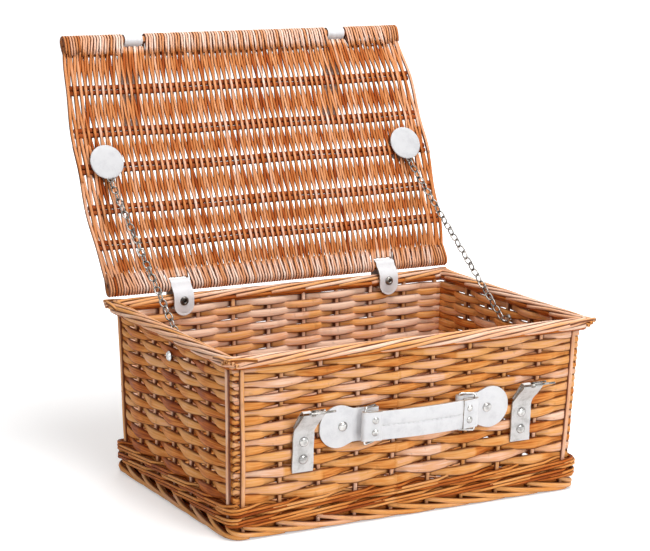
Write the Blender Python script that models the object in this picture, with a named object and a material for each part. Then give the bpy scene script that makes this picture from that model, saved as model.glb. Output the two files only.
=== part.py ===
"""A wicker picnic basket standing open on its lid chains, piece by piece, in metres."""

import math

import bmesh
import bpy
from mathutils import Matrix, Vector

# Basket body
RIM_WIDTH = 0.400
RIM_DEPTH = 0.276
BASKET_HEIGHT = 0.174
RIM_HEIGHT = 0.012
RIM_BREADTH = 0.014
BORDER_CORNER_RADIUS = 0.017
RIM_ROD_DEPTH = 0.0006
RIM_RODS = 6
RIM_SECTION_POWER = 0.7
WALL_INSET = 0.004
WALL_TAPER = 0.0055
WALL_THICKNESS = 0.009
ROW_COUNT = 18
ROW_DEPTH = 0.0012
WALING_ROWS = 3
WALING_HEIGHT = 0.021
WALING_PROUD = 0.0015
FOOT_HEIGHT = 0.012
FOOT_BREADTH = 0.014
FOOT_PROUD = 0.002
FOOT_EDGE = 0.002
POST_DIAMETER = 0.009
POST_INSET = 0.005
BASE_THICKNESS = 0.007
BASE_RAISE = 0.003
BASE_RODS = 18
GAP = 0.0003
POST_GAP = 0.0006
OVERRUN = 0.005

# Lid
LID_OPENING = math.radians(116)
LID_LENGTH = 0.262
LID_END_SETBACK = 0.004
LID_BOW = 0.0095
LID_BOW_POWER = 3
LID_THICKNESS = 0.008
LID_SLACK_DEPTH = 0.0012
LID_STICK_PAIRS = 5
LID_CREST_SHARES = (0.35, 0.65)
LID_SIDE_BREADTH = 0.019
LID_SIDE_THICKNESS = 0.0068
LID_SIDE_RODS = 4
LID_SIDE_DIP_SHARE = 0.55
STICK_DIAMETER = 0.008
WRAP_DIAMETER = 0.014
WRAP_BREADTH = 0.018
HINGE_SETBACK = 0.004
HINGE_RISE = 0.009

# Leatherette, shared by every strap
STRAP_THICKNESS = 0.0018
STRAP_PLACE = 0.1195
STRAP_GAP_WIDTH = 0.0245

# Hinge straps
HINGE_STRAP_WIDTH = 0.022
HINGE_FLAP_DROP = 0.0205
HINGE_RIVET_DROP = 0.0055

# Rivets
RIVET_DIAMETER = 0.0095
RIVET_RISE = 0.0026
SMALL_RIVET_DIAMETER = 0.0066
SMALL_RIVET_RISE = 0.0018
RIVET_EDGE_SHARE = 0.25
RIVET_TOP_SHARE = 0.4

# Front straps and buckles
BUCKLE_STRAP_WIDTH = 0.022
BUCKLE_STRAP_FOOT = 0.0465
BUCKLE_STRAP_FOLD = 0.0405
BUCKLE_FLAP_RISE = 0.0195
BUCKLE_FLAP_REACH = 0.0165
BUCKLE_RIVET_LOW = 0.0125
BUCKLE_RIVET_PITCH = 0.0168
BUCKLE_WIRE = 0.0022
BUCKLE_WIDTH = 0.0274
BUCKLE_LENGTH = 0.021
BUCKLE_CORNER = 0.0015
BUCKLE_TILT = math.radians(19)
BUCKLE_CLEARANCE = 0.0003
PRONG_WIDTH = 0.0018
PRONG_EYE = 0.003
PRONG_WALL = 0.0012
PRONG_TIP = 0.0035
PRONG_SLOT_WIDTH = 0.0046
PRONG_SLOT_ROOM = 0.0009

# Handle
HANDLE_CENTRE = 0.0855
PATCH_PLACE = 0.083
PATCH_RADIUS = 0.0205
PATCH_NECK = 0.0322
PATCH_RIVET_PLACE = 0.079
RING_PLACE = 0.046
RING_WIRE = 0.0025
RING_REACH = 0.0155
RING_ANGLE = math.radians(25)
RING_HEIGHT = 0.0355
RING_CORNER = 0.0015
RING_CLEARANCE = 0.0003
HANDLE_PLAY = 0.0030
GRIP_HEIGHT = 0.0275
GRIP_THICKNESS = 0.0045
GRIP_BOW = 0.0052
TAB_LENGTH = 0.0155
TAB_STEP = 0.0012
GRIP_RIVET_PLACE = 0.0515
GRIP_RIVET_SPREAD = 0.0058

# Lid straps
LID_STRAP_WIDTH = 0.020
LID_STRAP_LENGTH = 0.098
LID_STRAP_POINT = 0.010
LID_STRAP_HOLE = 0.0034
LID_STRAP_HOLES = 3
LID_STRAP_HOLE_PITCH = 0.014

# Chains
DISC_INSET = 0.021
DISC_ALONG = 0.131
DISC_DIAMETER = 0.036
DISC_THICKNESS = 0.0022
DISC_STAND_OFF = 0.0015
DISC_DOME = 0.0008
DISC_EDGE_SHARE = 0.25
BOLT_DIAMETER = 0.006
CHAIN_WIRE = 0.0016
CHAIN_WIDTH = 0.008
CHAIN_BITE = 0.0005
CHAIN_PLAY = 0.0003
CHAIN_LINKS = (12, 6, 9)
ANCHOR_REACH = 0.0215
ANCHOR_DROP = 0.0025
ANCHOR_TURN = 0.0035
EYELET_BEHIND = -0.007
EYELET_DROP = 0.026
EYELET_DIAMETER = 0.010
EYELET_RISE = 0.0022
EYELET_SHANK = 0.004
EYELET_DOME_SHARE = 0.7
EYELET_BACK_SHARE = 0.5
CHAIN_WALL_GAP = 0.0075

WILLOW = ("willow", (0.68, 0.36, 0.13), 0.55, 0.0)
LEATHERETTE = ("leatherette", (0.83, 0.83, 0.85), 0.45, 0.0)
STEEL = ("steel", (0.72, 0.72, 0.72), 0.22, 1.0)

SIDES = (("left", -1), ("right", 1))
UP = Vector((0, 0, 1))
RIM_FOOT = BASKET_HEIGHT - RIM_HEIGHT
LID_WIDTH = RIM_WIDTH - 2 * LID_END_SETBACK
DISC_PLACE = LID_WIDTH / 2 - DISC_INSET
HINGE_Y = RIM_DEPTH / 2 - HINGE_SETBACK
HINGE_Z = BASKET_HEIGHT + HINGE_RISE


# Helpers that turn outlines into closed meshes

def material(spec):
    name, colour, roughness, metallic = spec
    found = bpy.data.materials.get(name)
    if found:
        return found
    made = bpy.data.materials.new(name)
    made.use_nodes = True
    shader = made.node_tree.nodes["Principled BSDF"]
    shader.inputs["Base Color"].default_value = (*colour, 1)
    shader.inputs["Roughness"].default_value = roughness
    shader.inputs["Metallic"].default_value = metallic
    made.diffuse_color = (*colour, 1)
    return made


def finish(name, bm, spec, parent=None, smooth_angle=math.radians(40)):
    bmesh.ops.recalc_face_normals(bm, faces=bm.faces)
    mesh = bpy.data.meshes.new(name)
    bm.to_mesh(mesh)
    bm.free()
    mesh.materials.append(material(spec))
    obj = bpy.data.objects.new(name, mesh)
    bpy.context.collection.objects.link(obj)
    mesh.shade_smooth()
    mesh.set_sharp_from_angle(angle=smooth_angle)
    if parent is not None:
        obj.parent = parent
    return obj


def empty(name, location, parent=None, turn_x=0.0):
    obj = bpy.data.objects.new(name, None)
    bpy.context.collection.objects.link(obj)
    obj.location = location
    obj.rotation_euler = (turn_x, 0, 0)
    if parent is not None:
        obj.parent = parent
    return obj


def skin(bm, rings, loop=False):
    """Joins rings of equally many points, and closes both ends unless the rings form a loop."""
    made = [[bm.verts.new(point) for point in ring] for ring in rings]
    pairs = list(zip(made, made[1:]))
    if loop:
        pairs.append((made[-1], made[0]))
    for first, second in pairs:
        count = len(first)
        for i in range(count):
            j = (i + 1) % count
            bm.faces.new((first[i], first[j], second[j], second[i]))
    if not loop:
        bm.faces.new(made[0])
        bm.faces.new(made[-1])


def tube(bm, points, radius, sides, loop=False, flat=None):
    """A round rod along points. flat is a direction that stays square to the rod's own sides."""
    rings = []
    count = len(points)
    for i, point in enumerate(points):
        before = points[i - 1] if loop or i else point
        after = points[(i + 1) % count] if loop or i < count - 1 else point
        along = (after - before).normalized()
        across = (flat - along * flat.dot(along)).normalized()
        third = along.cross(across)
        ring = []
        for k in range(sides):
            turn = 2 * math.pi * (k + 0.5) / sides
            ring.append(point + radius * (math.cos(turn) * across + math.sin(turn) * third))
        rings.append(ring)
    skin(bm, rings, loop)


def plate(bm, outline, low, high, place):
    """Extrudes a flat outline from low to high. place turns (first, second, depth) into a point."""
    skin(bm, [[place(a, b, depth) for a, b in outline] for depth in (low, high)])


def arc(centre, radius, start, end, steps):
    points = []
    for i in range(steps + 1):
        turn = start + (end - start) * i / steps
        points.append((centre[0] + radius * math.cos(turn), centre[1] + radius * math.sin(turn)))
    return points


def turned(bm, profile, place, steps):
    """Spins a profile of (radius, along) about its own axis. place turns (x, y, along) into a point."""
    rings = []
    for radius, along in profile:
        ring = []
        for k in range(steps):
            turn = 2 * math.pi * k / steps
            ring.append(place(radius * math.cos(turn), radius * math.sin(turn), along))
        rings.append(ring)
    skin(bm, rings)


def combine(target, other, operation):
    cut = target.modifiers.new(other.name, "BOOLEAN")
    cut.operation = operation
    cut.solver = "EXACT"
    cut.object = other
    other.hide_render = True
    other.display_type = "WIRE"


def rounded_loop(width, height, radius, steps):
    """A closed rounded rectangle about the origin, as (first, second) pairs."""
    points = []
    for quarter, (sx, sy) in enumerate(((1, 1), (-1, 1), (-1, -1), (1, -1))):
        centre = (sx * (width / 2 - radius), sy * (height / 2 - radius))
        start = quarter * math.pi / 2
        points += arc(centre, radius, start, start + math.pi / 2, steps)
    return points


def dome(name, spec, parent, diameter, rise, centre, normal, steps=14):
    """A domed rivet head whose flat back is GAP above centre along normal."""
    bm = bmesh.new()
    across = normal.orthogonal().normalized()
    third = normal.cross(across)

    def place(x, y, along):
        return centre + normal * (along + GAP) + across * x + third * y

    radius = diameter / 2
    levels = 4
    profile = [(radius, 0)]
    for i in range(levels):
        turn = math.pi / 2 * i / levels
        share = RIVET_EDGE_SHARE + (1 - RIVET_EDGE_SHARE) * math.sin(turn)
        profile.append((radius * math.cos(turn), rise * share))
    profile.append((radius * math.cos(math.pi / 2 * (1 - RIVET_TOP_SHARE / levels)), rise))
    turned(bm, profile, place, steps)
    return finish(name, bm, spec, parent)


# Body

def wall_half(extent, z):
    """Half the body's outer width or depth at a height, over the woven crests."""
    share = (z - FOOT_HEIGHT) / (RIM_FOOT - FOOT_HEIGHT)
    return extent / 2 - WALL_INSET - WALL_TAPER * (1 - share)


def wall_stations():
    """Heights and ridge depths from the waling up to the rim."""
    stations = [(FOOT_HEIGHT + GAP, ROW_DEPTH - WALING_PROUD)]
    pitch = WALING_HEIGHT / WALING_ROWS
    for row in range(WALING_ROWS):
        low = FOOT_HEIGHT + row * pitch
        stations.append((low + pitch / 2, -WALING_PROUD))
        stations.append((low + pitch, ROW_DEPTH - WALING_PROUD))
    low = FOOT_HEIGHT + WALING_HEIGHT
    stations[-1] = (low, ROW_DEPTH)
    pitch = (RIM_FOOT - GAP - low) / ROW_COUNT
    for row in range(ROW_COUNT):
        stations.append((low + (row + 0.5) * pitch, 0))
        stations.append((low + (row + 1) * pitch, ROW_DEPTH))
    return stations


def wall(name, parent, long_side, sign):
    bm = bmesh.new()
    rings = []
    room = POST_INSET + POST_DIAMETER / 2 + GAP
    for z, depth in wall_stations():
        end = wall_half(RIM_WIDTH if long_side else RIM_DEPTH, z) - room
        outer = wall_half(RIM_DEPTH if long_side else RIM_WIDTH, z) - depth
        inner = wall_half(RIM_DEPTH if long_side else RIM_WIDTH, z) - WALL_THICKNESS + max(depth, 0)
        ring = [(-end, outer), (end, outer), (end, inner), (-end, inner)]
        if long_side:
            rings.append([Vector((a, sign * b, z)) for a, b in ring])
        else:
            rings.append([Vector((sign * b, a, z)) for a, b in ring])
    skin(bm, rings)
    return finish(name, bm, WILLOW, parent, math.radians(20))


def box_cutter(name, low, high, parent):
    bm = bmesh.new()
    outline = [(low[0], low[1]), (high[0], low[1]), (high[0], high[1]), (low[0], high[1])]
    plate(bm, outline, low[2], high[2], lambda a, b, depth: Vector((a, b, depth)))
    return finish(name, bm, WILLOW, parent)


def post(name, parent, sx, sy):
    bm = bmesh.new()
    points = []
    for z in (FOOT_HEIGHT + POST_GAP, RIM_FOOT - POST_GAP):
        x = wall_half(RIM_WIDTH, z) - POST_INSET
        y = wall_half(RIM_DEPTH, z) - POST_INSET
        points.append(Vector((sx * x, sy * y, z)))
    tube(bm, points, POST_DIAMETER / 2, 12, flat=Vector((1, 0, 0)))
    return finish(name, bm, WILLOW, parent)


def border_bar(name, parent, quarter, half_x, half_y, profile, steps=3):
    """One side of a rounded border. profile holds (distance in from the outer edge, height)."""
    bm = bmesh.new()
    radius = BORDER_CORNER_RADIUS
    facing = quarter * math.pi / 2
    rings = []
    for corner in (-1, 1):
        middle = facing + corner * math.pi / 4
        centre = Vector(((half_x - radius) * math.copysign(1, math.cos(middle)),
                         (half_y - radius) * math.copysign(1, math.sin(middle)), 0))
        for i in range(steps + 1):
            share = i / steps if corner > 0 else 1 - i / steps
            turn = facing + corner * share * math.pi / 4
            outward = Vector((math.cos(turn), math.sin(turn), 0))
            tangent = Vector((-math.sin(turn), math.cos(turn), 0))
            shift = -corner * tangent * (GAP / 2) if share == 1 else Vector()
            rings.append([centre + shift + outward * (radius - d) + UP * z for d, z in profile])
    skin(bm, rings)
    return finish(name, bm, WILLOW, parent, math.radians(25))


def rim_profile():
    """The rolled border's section: rods lying side by side round an oval."""
    points = []
    for i in range(RIM_RODS * 4):
        turn = 2 * math.pi * i / (RIM_RODS * 4)
        dip = RIM_ROD_DEPTH * (1 - math.cos(RIM_RODS * turn)) / 2
        level, rise = math.cos(turn), math.sin(turn)
        across = (RIM_BREADTH / 2 - dip) * math.copysign(abs(level) ** RIM_SECTION_POWER, level)
        high = (RIM_HEIGHT / 2 - dip) * math.copysign(abs(rise) ** RIM_SECTION_POWER, rise)
        points.append((RIM_BREADTH / 2 - across, RIM_FOOT + RIM_HEIGHT / 2 + high))
    return points


def foot_profile():
    edge = FOOT_EDGE
    top = FOOT_HEIGHT
    inner = FOOT_BREADTH
    return [(edge, 0), (0, edge), (0, top - edge), (edge, top), (inner - edge, top),
            (inner, top - edge), (inner, edge), (inner - edge, 0)]


def base_panel(parent):
    bm = bmesh.new()
    half_x = wall_half(RIM_WIDTH, FOOT_HEIGHT) + FOOT_PROUD - FOOT_BREADTH - GAP
    half_y = wall_half(RIM_DEPTH, FOOT_HEIGHT) + FOOT_PROUD - FOOT_BREADTH - GAP
    corner = FOOT_BREADTH / 2
    rings = []
    count = 2 * BASE_RODS
    for i in range(count + 1):
        y = -half_y + 2 * half_y * i / count
        dip = 0 if i % 2 else ROW_DEPTH
        near = max(0, corner - (half_y - abs(y)))
        x = half_x - near
        low = BASE_RAISE + dip
        high = BASE_RAISE + BASE_THICKNESS - dip
        corners = ((-x, low), (x, low), (x, high), (-x, high))
        rings.append([Vector((a, y, b)) for a, b in corners])
    skin(bm, rings)
    return finish("base_panel", bm, WILLOW, parent, math.radians(20))


def side_frame(parent):
    """The front wall's own frame: X along it, -Y out of it and Z up it, from the foot's top."""
    lean = math.atan2(WALL_TAPER, RIM_FOOT - FOOT_HEIGHT)
    place = Vector((0, -wall_half(RIM_DEPTH, FOOT_HEIGHT), FOOT_HEIGHT))
    return empty("front_face", place, parent, lean)


# Hinge straps

def hinge_strap(name, parent, side):
    half_rim = RIM_BREADTH / 2 + GAP
    rim_y = RIM_DEPTH / 2 - RIM_BREADTH / 2
    low = RIM_FOOT - GAP
    high = BASKET_HEIGHT + GAP
    band = STRAP_THICKNESS
    eye = STICK_DIAMETER / 2 + GAP
    y0 = rim_y - half_rim
    y1 = rim_y + half_rim
    x = side * STRAP_PLACE
    half = HINGE_STRAP_WIDTH / 2

    def place(a, b, depth):
        return Vector((x + depth, a, b))

    loop = bmesh.new()
    chamfer = band
    outline = [(y0 - band, low - band + chamfer), (y0 - band + chamfer, low - band)]
    outline += [(y1 + band - chamfer, low - band), (y1 + band, low - band + chamfer)]
    outline += [(y1 + band, high), (HINGE_Y + eye + band, HINGE_Z)]
    outline += arc((HINGE_Y, HINGE_Z), eye + band, 0, math.pi, 10)[1:]
    outline += [(y0 - band, high)]
    plate(loop, outline, -half, half, place)
    strap = finish(name, loop, LEATHERETTE, parent)

    flap = bmesh.new()
    tip = BASKET_HEIGHT - HINGE_FLAP_DROP
    end = arc((0, tip + half), half, math.pi, 2 * math.pi, 10)
    shape = [(a, b) for a, b in end] + [(half, high - band), (-half, high - band)]
    back = y0 - GAP
    front = y0 - 2 * band

    plate(flap, shape, front, back, lambda a, b, depth: Vector((x + a, depth, b)))
    combine(strap, finish(name + "_flap", flap, LEATHERETTE, parent), "UNION")

    hole = bmesh.new()
    room = [(y0, low), (y1, low), (y1, high), (y0, high)]
    plate(hole, room, -half - OVERRUN, half + OVERRUN, place)
    combine(strap, finish(name + "_rim_hole", hole, LEATHERETTE, parent), "DIFFERENCE")
    bore = bmesh.new()
    tube(bore, [Vector((x + s * (half + OVERRUN), HINGE_Y, HINGE_Z)) for s in (-1, 1)], eye, 16, flat=UP)
    combine(strap, finish(name + "_stick_hole", bore, LEATHERETTE, parent), "DIFFERENCE")

    rivet_z = BASKET_HEIGHT - HINGE_RIVET_DROP
    dome("hinge_rivet" + name[len("hinge_strap"):], STEEL, parent, RIVET_DIAMETER, RIVET_RISE,
         Vector((x, front, rivet_z)), Vector((0, -1, 0)))
    return strap


def strap_slot(back_wall, parent, side):
    """The slot under the rim through which a hinge strap passes the woven back wall."""
    x = side * STRAP_PLACE
    half = HINGE_STRAP_WIDTH / 2 + GAP
    drop = RIM_FOOT - GAP - STRAP_THICKNESS - GAP
    flap = BASKET_HEIGHT - HINGE_FLAP_DROP - GAP
    outer = RIM_DEPTH / 2
    inner = outer - WALL_THICKNESS - WALL_INSET - OVERRUN
    cutter = box_cutter("strap_slot_%d" % side, (x - half, inner, drop),
                        (x + half, outer, RIM_FOOT + OVERRUN), parent)
    combine(back_wall, cutter, "DIFFERENCE")
    back = RIM_DEPTH / 2 - RIM_BREADTH
    pocket = box_cutter("flap_pocket_%d" % side, (x - half, inner, flap), (x + half, back, RIM_FOOT), parent)
    combine(back_wall, pocket, "DIFFERENCE")


# Front straps and buckles

def buckle_axis():
    """The heel bar's place in the front wall's frame."""
    return Vector((0, -GAP - BUCKLE_FLAP_REACH, BUCKLE_STRAP_FOOT + BUCKLE_STRAP_FOLD + BUCKLE_FLAP_RISE))


def buckle_strap(name, parent, side):
    x = side * STRAP_PLACE
    half = BUCKLE_STRAP_WIDTH / 2
    band = STRAP_THICKNESS
    axis = buckle_axis()
    out = -axis.y
    high = axis.z
    bore = BUCKLE_WIRE / 2 + BUCKLE_CLEARANCE
    outer = bore + band
    low = BUCKLE_STRAP_FOOT
    fold = BUCKLE_STRAP_FOOT + BUCKLE_STRAP_FOLD
    start = (GAP + band, fold)
    along = Vector((out - start[0], high - start[1])).normalized()
    lean = math.atan2(along.y, along.x)
    outline = [(GAP, low), (GAP, fold)]
    outline += arc((out, high), outer, lean + math.pi / 2, lean - math.pi / 2, 10)
    crease = Vector((GAP + 2 * band, fold - band))
    outline += [(crease.x + outer / 2, crease.y + band / 2), (crease.x, crease.y - band / 2)]
    outline += [(GAP + band, crease.y - band / 2), (GAP + band, low)]

    bm = bmesh.new()
    plate(bm, outline, -half, half, lambda a, b, depth: Vector((x + depth, -a, b)))
    strap = finish(name, bm, LEATHERETTE, parent)
    hole = bmesh.new()
    ends = [Vector((x + s * (half + OVERRUN), axis.y, axis.z)) for s in (-1, 1)]
    tube(hole, ends, bore, 12, flat=UP)
    combine(strap, finish(name + "_bore", hole, LEATHERETTE, parent), "DIFFERENCE")
    slot = bmesh.new()
    room = outer + PRONG_SLOT_ROOM
    tube(slot, [Vector((x + s * PRONG_SLOT_WIDTH / 2, axis.y, axis.z)) for s in (-1, 1)], room, 16, flat=UP)
    combine(strap, finish(name + "_slot", slot, LEATHERETTE, parent), "DIFFERENCE")
    for i, level in enumerate(("lower", "upper")):
        z = low + BUCKLE_RIVET_LOW + i * BUCKLE_RIVET_PITCH
        dome("strap_rivet_%s%s" % (level, name[len("buckle_strap"):]), STEEL, parent, RIVET_DIAMETER,
             RIVET_RISE, Vector((x, -GAP - band, z)), Vector((0, -1, 0)))
    return strap


def buckle(frame_name, prong_name, parent, side):
    """A wire frame on the strap's heel bar, with its prong. Their own frame points +Y along the frame."""
    axis = buckle_axis() + Vector((side * STRAP_PLACE, 0, 0))
    pivot = empty(frame_name + "_axis", axis, parent, -BUCKLE_TILT)
    bm = bmesh.new()
    loop = rounded_loop(BUCKLE_WIDTH - BUCKLE_WIRE, BUCKLE_LENGTH, BUCKLE_CORNER, 3)
    points = [Vector((a, -b - BUCKLE_LENGTH / 2, 0)) for a, b in loop]
    tube(bm, points, BUCKLE_WIRE / 2, 8, loop=True, flat=UP)
    frame = finish(frame_name, bm, STEEL, pivot)

    turn = empty(prong_name + "_axis", (0, 0, 0), pivot)
    eye_in = PRONG_EYE / 2
    eye_out = eye_in + PRONG_WALL
    half = PRONG_WIDTH / 2
    rise = BUCKLE_WIRE / 2 + BUCKLE_CLEARANCE + half
    bm = bmesh.new()
    reach = BUCKLE_LENGTH + PRONG_TIP
    outline = [(0, rise + half), (0, rise - half), (-reach, rise - half), (-reach, rise)]
    outline += [(-reach + half, rise + half)]
    plate(bm, outline, -half, half, lambda a, b, depth: Vector((depth, a, b)))
    prong = finish(prong_name, bm, STEEL, turn)
    ring = bmesh.new()
    tube(ring, [Vector((s * half, 0, 0)) for s in (-1, 1)], eye_out, 14, flat=UP)
    combine(prong, finish(prong_name + "_eye", ring, STEEL, turn), "UNION")
    bore = bmesh.new()
    tube(bore, [Vector((s * (half + OVERRUN), 0, 0)) for s in (-1, 1)], eye_in, 14, flat=UP)
    combine(prong, finish(prong_name + "_bore", bore, STEEL, turn), "DIFFERENCE")
    return frame, prong


# Handle

def ring_bars(side):
    """The ring's two upright bars in the front frame: on the patch's neck, and in the grip's tab."""
    near = Vector((side * RING_PLACE, -GAP - STRAP_THICKNESS - RING_CLEARANCE - RING_WIRE / 2, 0))
    far = near + RING_REACH * Vector((side * math.cos(RING_ANGLE), -math.sin(RING_ANGLE), 0))
    return near, far


def handle_patch(name, parent, side):
    band = STRAP_THICKNESS
    bm = bmesh.new()
    neck = PATCH_NECK / 2
    tangent = math.acos(neck / PATCH_RADIUS)
    outline = arc((PATCH_PLACE, 0), PATCH_RADIUS, -math.pi / 2 - tangent, math.pi / 2 + tangent, 22)
    outline += [(RING_PLACE, neck), (RING_PLACE, -neck)]

    def place(a, b, depth):
        return Vector((side * a, depth, HANDLE_CENTRE + b))

    plate(bm, outline, -GAP - band, -GAP, place)
    patch = finish(name, bm, LEATHERETTE, parent)
    near = ring_bars(side)[0]
    bore = RING_WIRE / 2 + RING_CLEARANCE
    outer = bore + band
    lug = bmesh.new()
    tube(lug, [near + UP * (HANDLE_CENTRE + s * neck) for s in (-1, 1)], outer, 16, flat=Vector((1, 0, 0)))
    combine(patch, finish(name + "_fold", lug, LEATHERETTE, parent), "UNION")
    under = bmesh.new()
    low = HANDLE_CENTRE - neck - OVERRUN
    reach = outer + OVERRUN
    left, right = near.x - reach, near.x + reach
    shape = [(left, -GAP), (right, -GAP), (right, reach), (left, reach)]
    plate(under, shape, low, HANDLE_CENTRE + neck + OVERRUN, lambda a, b, depth: Vector((a, b, depth)))
    combine(patch, finish(name + "_under", under, LEATHERETTE, parent), "DIFFERENCE")
    hole = bmesh.new()
    ends = [near + UP * (HANDLE_CENTRE + s * (neck + OVERRUN)) for s in (-1, 1)]
    tube(hole, ends, bore, 12, flat=Vector((1, 0, 0)))
    combine(patch, finish(name + "_bore", hole, LEATHERETTE, parent), "DIFFERENCE")
    dome("patch_rivet" + name[len("handle_patch"):], STEEL, parent, RIVET_DIAMETER, RIVET_RISE,
         Vector((side * PATCH_RIVET_PLACE, -GAP - band, HANDLE_CENTRE)), Vector((0, -1, 0)))
    return patch


def handle_ring(name, parent, side):
    near, far = ring_bars(side)
    pivot = empty(name + "_axis", near + UP * HANDLE_CENTRE, parent)
    across = (far - near).normalized()
    bm = bmesh.new()
    loop = rounded_loop(RING_REACH, RING_HEIGHT, RING_CORNER, 2)
    points = [across * (a + RING_REACH / 2) + UP * b for a, b in loop]
    tube(bm, points, RING_WIRE / 2, 8, loop=True, flat=across.cross(UP))
    return finish(name, bm, STEEL, pivot)


def grip_out(x):
    """How far the grip's outer face stands out from the wall at x."""
    far = ring_bars(1)[1]
    edge = -far.y + RING_WIRE / 2 + RING_CLEARANCE + STRAP_THICKNESS
    return edge + GRIP_BOW * (1 - (x / far.x) ** 2)


def handle_grip(parent):
    slide = empty("handle_slide", (0, 0, 0), parent)
    far = ring_bars(1)[1]
    bore = RING_WIRE / 2 + RING_CLEARANCE
    outer = bore + STRAP_THICKNESS
    tab = far.x - TAB_LENGTH
    eye = far.x - HANDLE_PLAY
    steps = 8
    top = []
    for i in range(steps + 1):
        x = -tab + 2 * tab * i / steps
        top.append((x, grip_out(x) - TAB_STEP))
    face = []
    for side in (-1, 1):
        run = [(side * tab, grip_out(tab)), (side * (tab + TAB_LENGTH / 2), grip_out(tab + TAB_LENGTH / 2))]
        end = arc((far.x, -far.y), outer, math.pi / 2, -math.pi / 2, 8)
        run += [(side * a, b) for a, b in end]
        run += [(side * (eye - TAB_STEP), -far.y - outer)]
        face.append(run)
    under = []
    for i in range(steps + 1):
        x = tab - 2 * tab * i / steps
        under.append((x, max(grip_out(x) - TAB_STEP - GRIP_THICKNESS, -far.y - outer)))
    outline = top + face[1] + under + face[0][::-1]
    half = GRIP_HEIGHT / 2
    bm = bmesh.new()
    plate(bm, outline, -half, half, lambda a, b, depth: Vector((a, -b, HANDLE_CENTRE + depth)))
    grip = finish("handle_grip", bm, LEATHERETTE, slide)
    for side_name, side in SIDES:
        hole = bmesh.new()
        shape = [(side * a, -b) for a, b in arc((far.x, -far.y), bore, math.pi / 2, -math.pi / 2, 6)]
        shape += [(side * a, -b) for a, b in arc((eye, -far.y), bore, -math.pi / 2, -3 * math.pi / 2, 6)]
        plate(hole, shape, -half - OVERRUN, half + OVERRUN,
              lambda a, b, depth: Vector((a, b, HANDLE_CENTRE + depth)))
        combine(grip, finish("grip_slot_" + side_name, hole, LEATHERETTE, slide), "DIFFERENCE")
        x = GRIP_RIVET_PLACE
        step = TAB_LENGTH / 4
        rise = (grip_out(x + step) - grip_out(x - step)) / (2 * step)
        normal = Vector((-side * rise, -1, 0)).normalized()
        for level, sign in (("upper", 1), ("lower", -1)):
            centre = Vector((side * x, -grip_out(x), HANDLE_CENTRE + sign * GRIP_RIVET_SPREAD))
            dome("grip_rivet_%s_%s" % (level, side_name), STEEL, slide, SMALL_RIVET_DIAMETER,
                 SMALL_RIVET_RISE, centre, normal, 12)
    return grip


# Lid, in its own closed frame: X across, -Y from the hinge to the front, Z up

def lid_half(along):
    """Half the lid's width at a distance from the hinge: its short sides bow outward."""
    share = 2 * along / LID_LENGTH - 1
    return LID_WIDTH / 2 + LID_BOW * (1 - abs(share) ** LID_BOW_POWER)


def lid_border(name, parent, along, sign):
    """A frame stick with the fine rods wrapped over it, left bare where a strap goes round."""
    wrap = WRAP_DIAMETER / 2
    stick = STICK_DIAMETER / 2
    half = LID_THICKNESS / 2
    mid = (WRAP_BREADTH / 2, (wrap + half) / 2)
    wrapped = [(WRAP_BREADTH, half), mid]
    wrapped += arc((0, 0), wrap, math.radians(65), math.radians(295), 11)
    wrapped += [(mid[0], -mid[1]), (WRAP_BREADTH, -half)]
    count = len(wrapped)
    bare = arc((0, 0), stick, math.pi / count, 2 * math.pi - math.pi / count, count - 1)
    end = LID_WIDTH / 2
    gap = STRAP_GAP_WIDTH / 2
    stations = [(-end, wrapped)]
    for place in (-STRAP_PLACE, STRAP_PLACE):
        stations += [(place - gap, wrapped), (place - gap + GAP, bare)]
        stations += [(place + gap - GAP, bare), (place + gap, wrapped)]
    stations.append((end, wrapped))
    bm = bmesh.new()
    skin(bm, [[Vector((x, -along - sign * a, b)) for a, b in ring] for x, ring in stations])
    return finish(name, bm, WILLOW, parent, math.radians(35))


def lid_panel(parent):
    bm = bmesh.new()
    start = WRAP_BREADTH + GAP
    end = LID_LENGTH - WRAP_BREADTH - GAP
    pitch = (end - start) / LID_STICK_PAIRS
    half = LID_THICKNESS / 2
    stations = []
    for i in range(LID_STICK_PAIRS):
        low = start + i * pitch
        stations.append((low, LID_SLACK_DEPTH))
        stations += [(low + pitch * share, 0) for share in LID_CREST_SHARES]
    stations.append((end, LID_SLACK_DEPTH))
    rings = []
    for along, dip in stations:
        x = lid_half(along) - LID_SIDE_BREADTH - GAP
        z = half - dip
        corners = ((-x, z), (x, z), (x, -z), (-x, -z))
        rings.append([Vector((a, -along, b)) for a, b in corners])
    skin(bm, rings)
    panel = finish("lid_panel", bm, WILLOW, parent, math.radians(15))
    for side_name, side in SIDES:
        hole = bmesh.new()
        centre = Vector((side * DISC_PLACE, -DISC_ALONG, 0))
        ends = [centre + UP * (s * (half + OVERRUN)) for s in (-1, 1)]
        tube(hole, ends, BOLT_DIAMETER / 2 + GAP, 14, flat=Vector((1, 0, 0)))
        combine(panel, finish("bolt_hole_" + side_name, hole, WILLOW, parent), "DIFFERENCE")
    return panel


def lid_side(name, parent, side):
    """A short side's border: rods lying side by side, following the bow."""
    bm = bmesh.new()
    start = WRAP_BREADTH + GAP
    end = LID_LENGTH - WRAP_BREADTH - GAP
    rod = LID_SIDE_BREADTH / LID_SIDE_RODS
    half = LID_SIDE_THICKNESS / 2
    crest = []
    for i in range(LID_SIDE_RODS):
        crest += [(i * rod, half * LID_SIDE_DIP_SHARE), ((i + 0.5) * rod, half)]
    crest.append((LID_SIDE_BREADTH, half * LID_SIDE_DIP_SHARE))
    section = crest + [(a, -b) for a, b in reversed(crest)]
    steps = 12
    rings = []
    for i in range(steps + 1):
        along = start + (end - start) * i / steps
        edge = lid_half(along)
        rings.append([Vector((side * (edge - a), -along, b)) for a, b in section])
    skin(bm, rings)
    return finish(name, bm, WILLOW, parent, math.radians(20))


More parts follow.
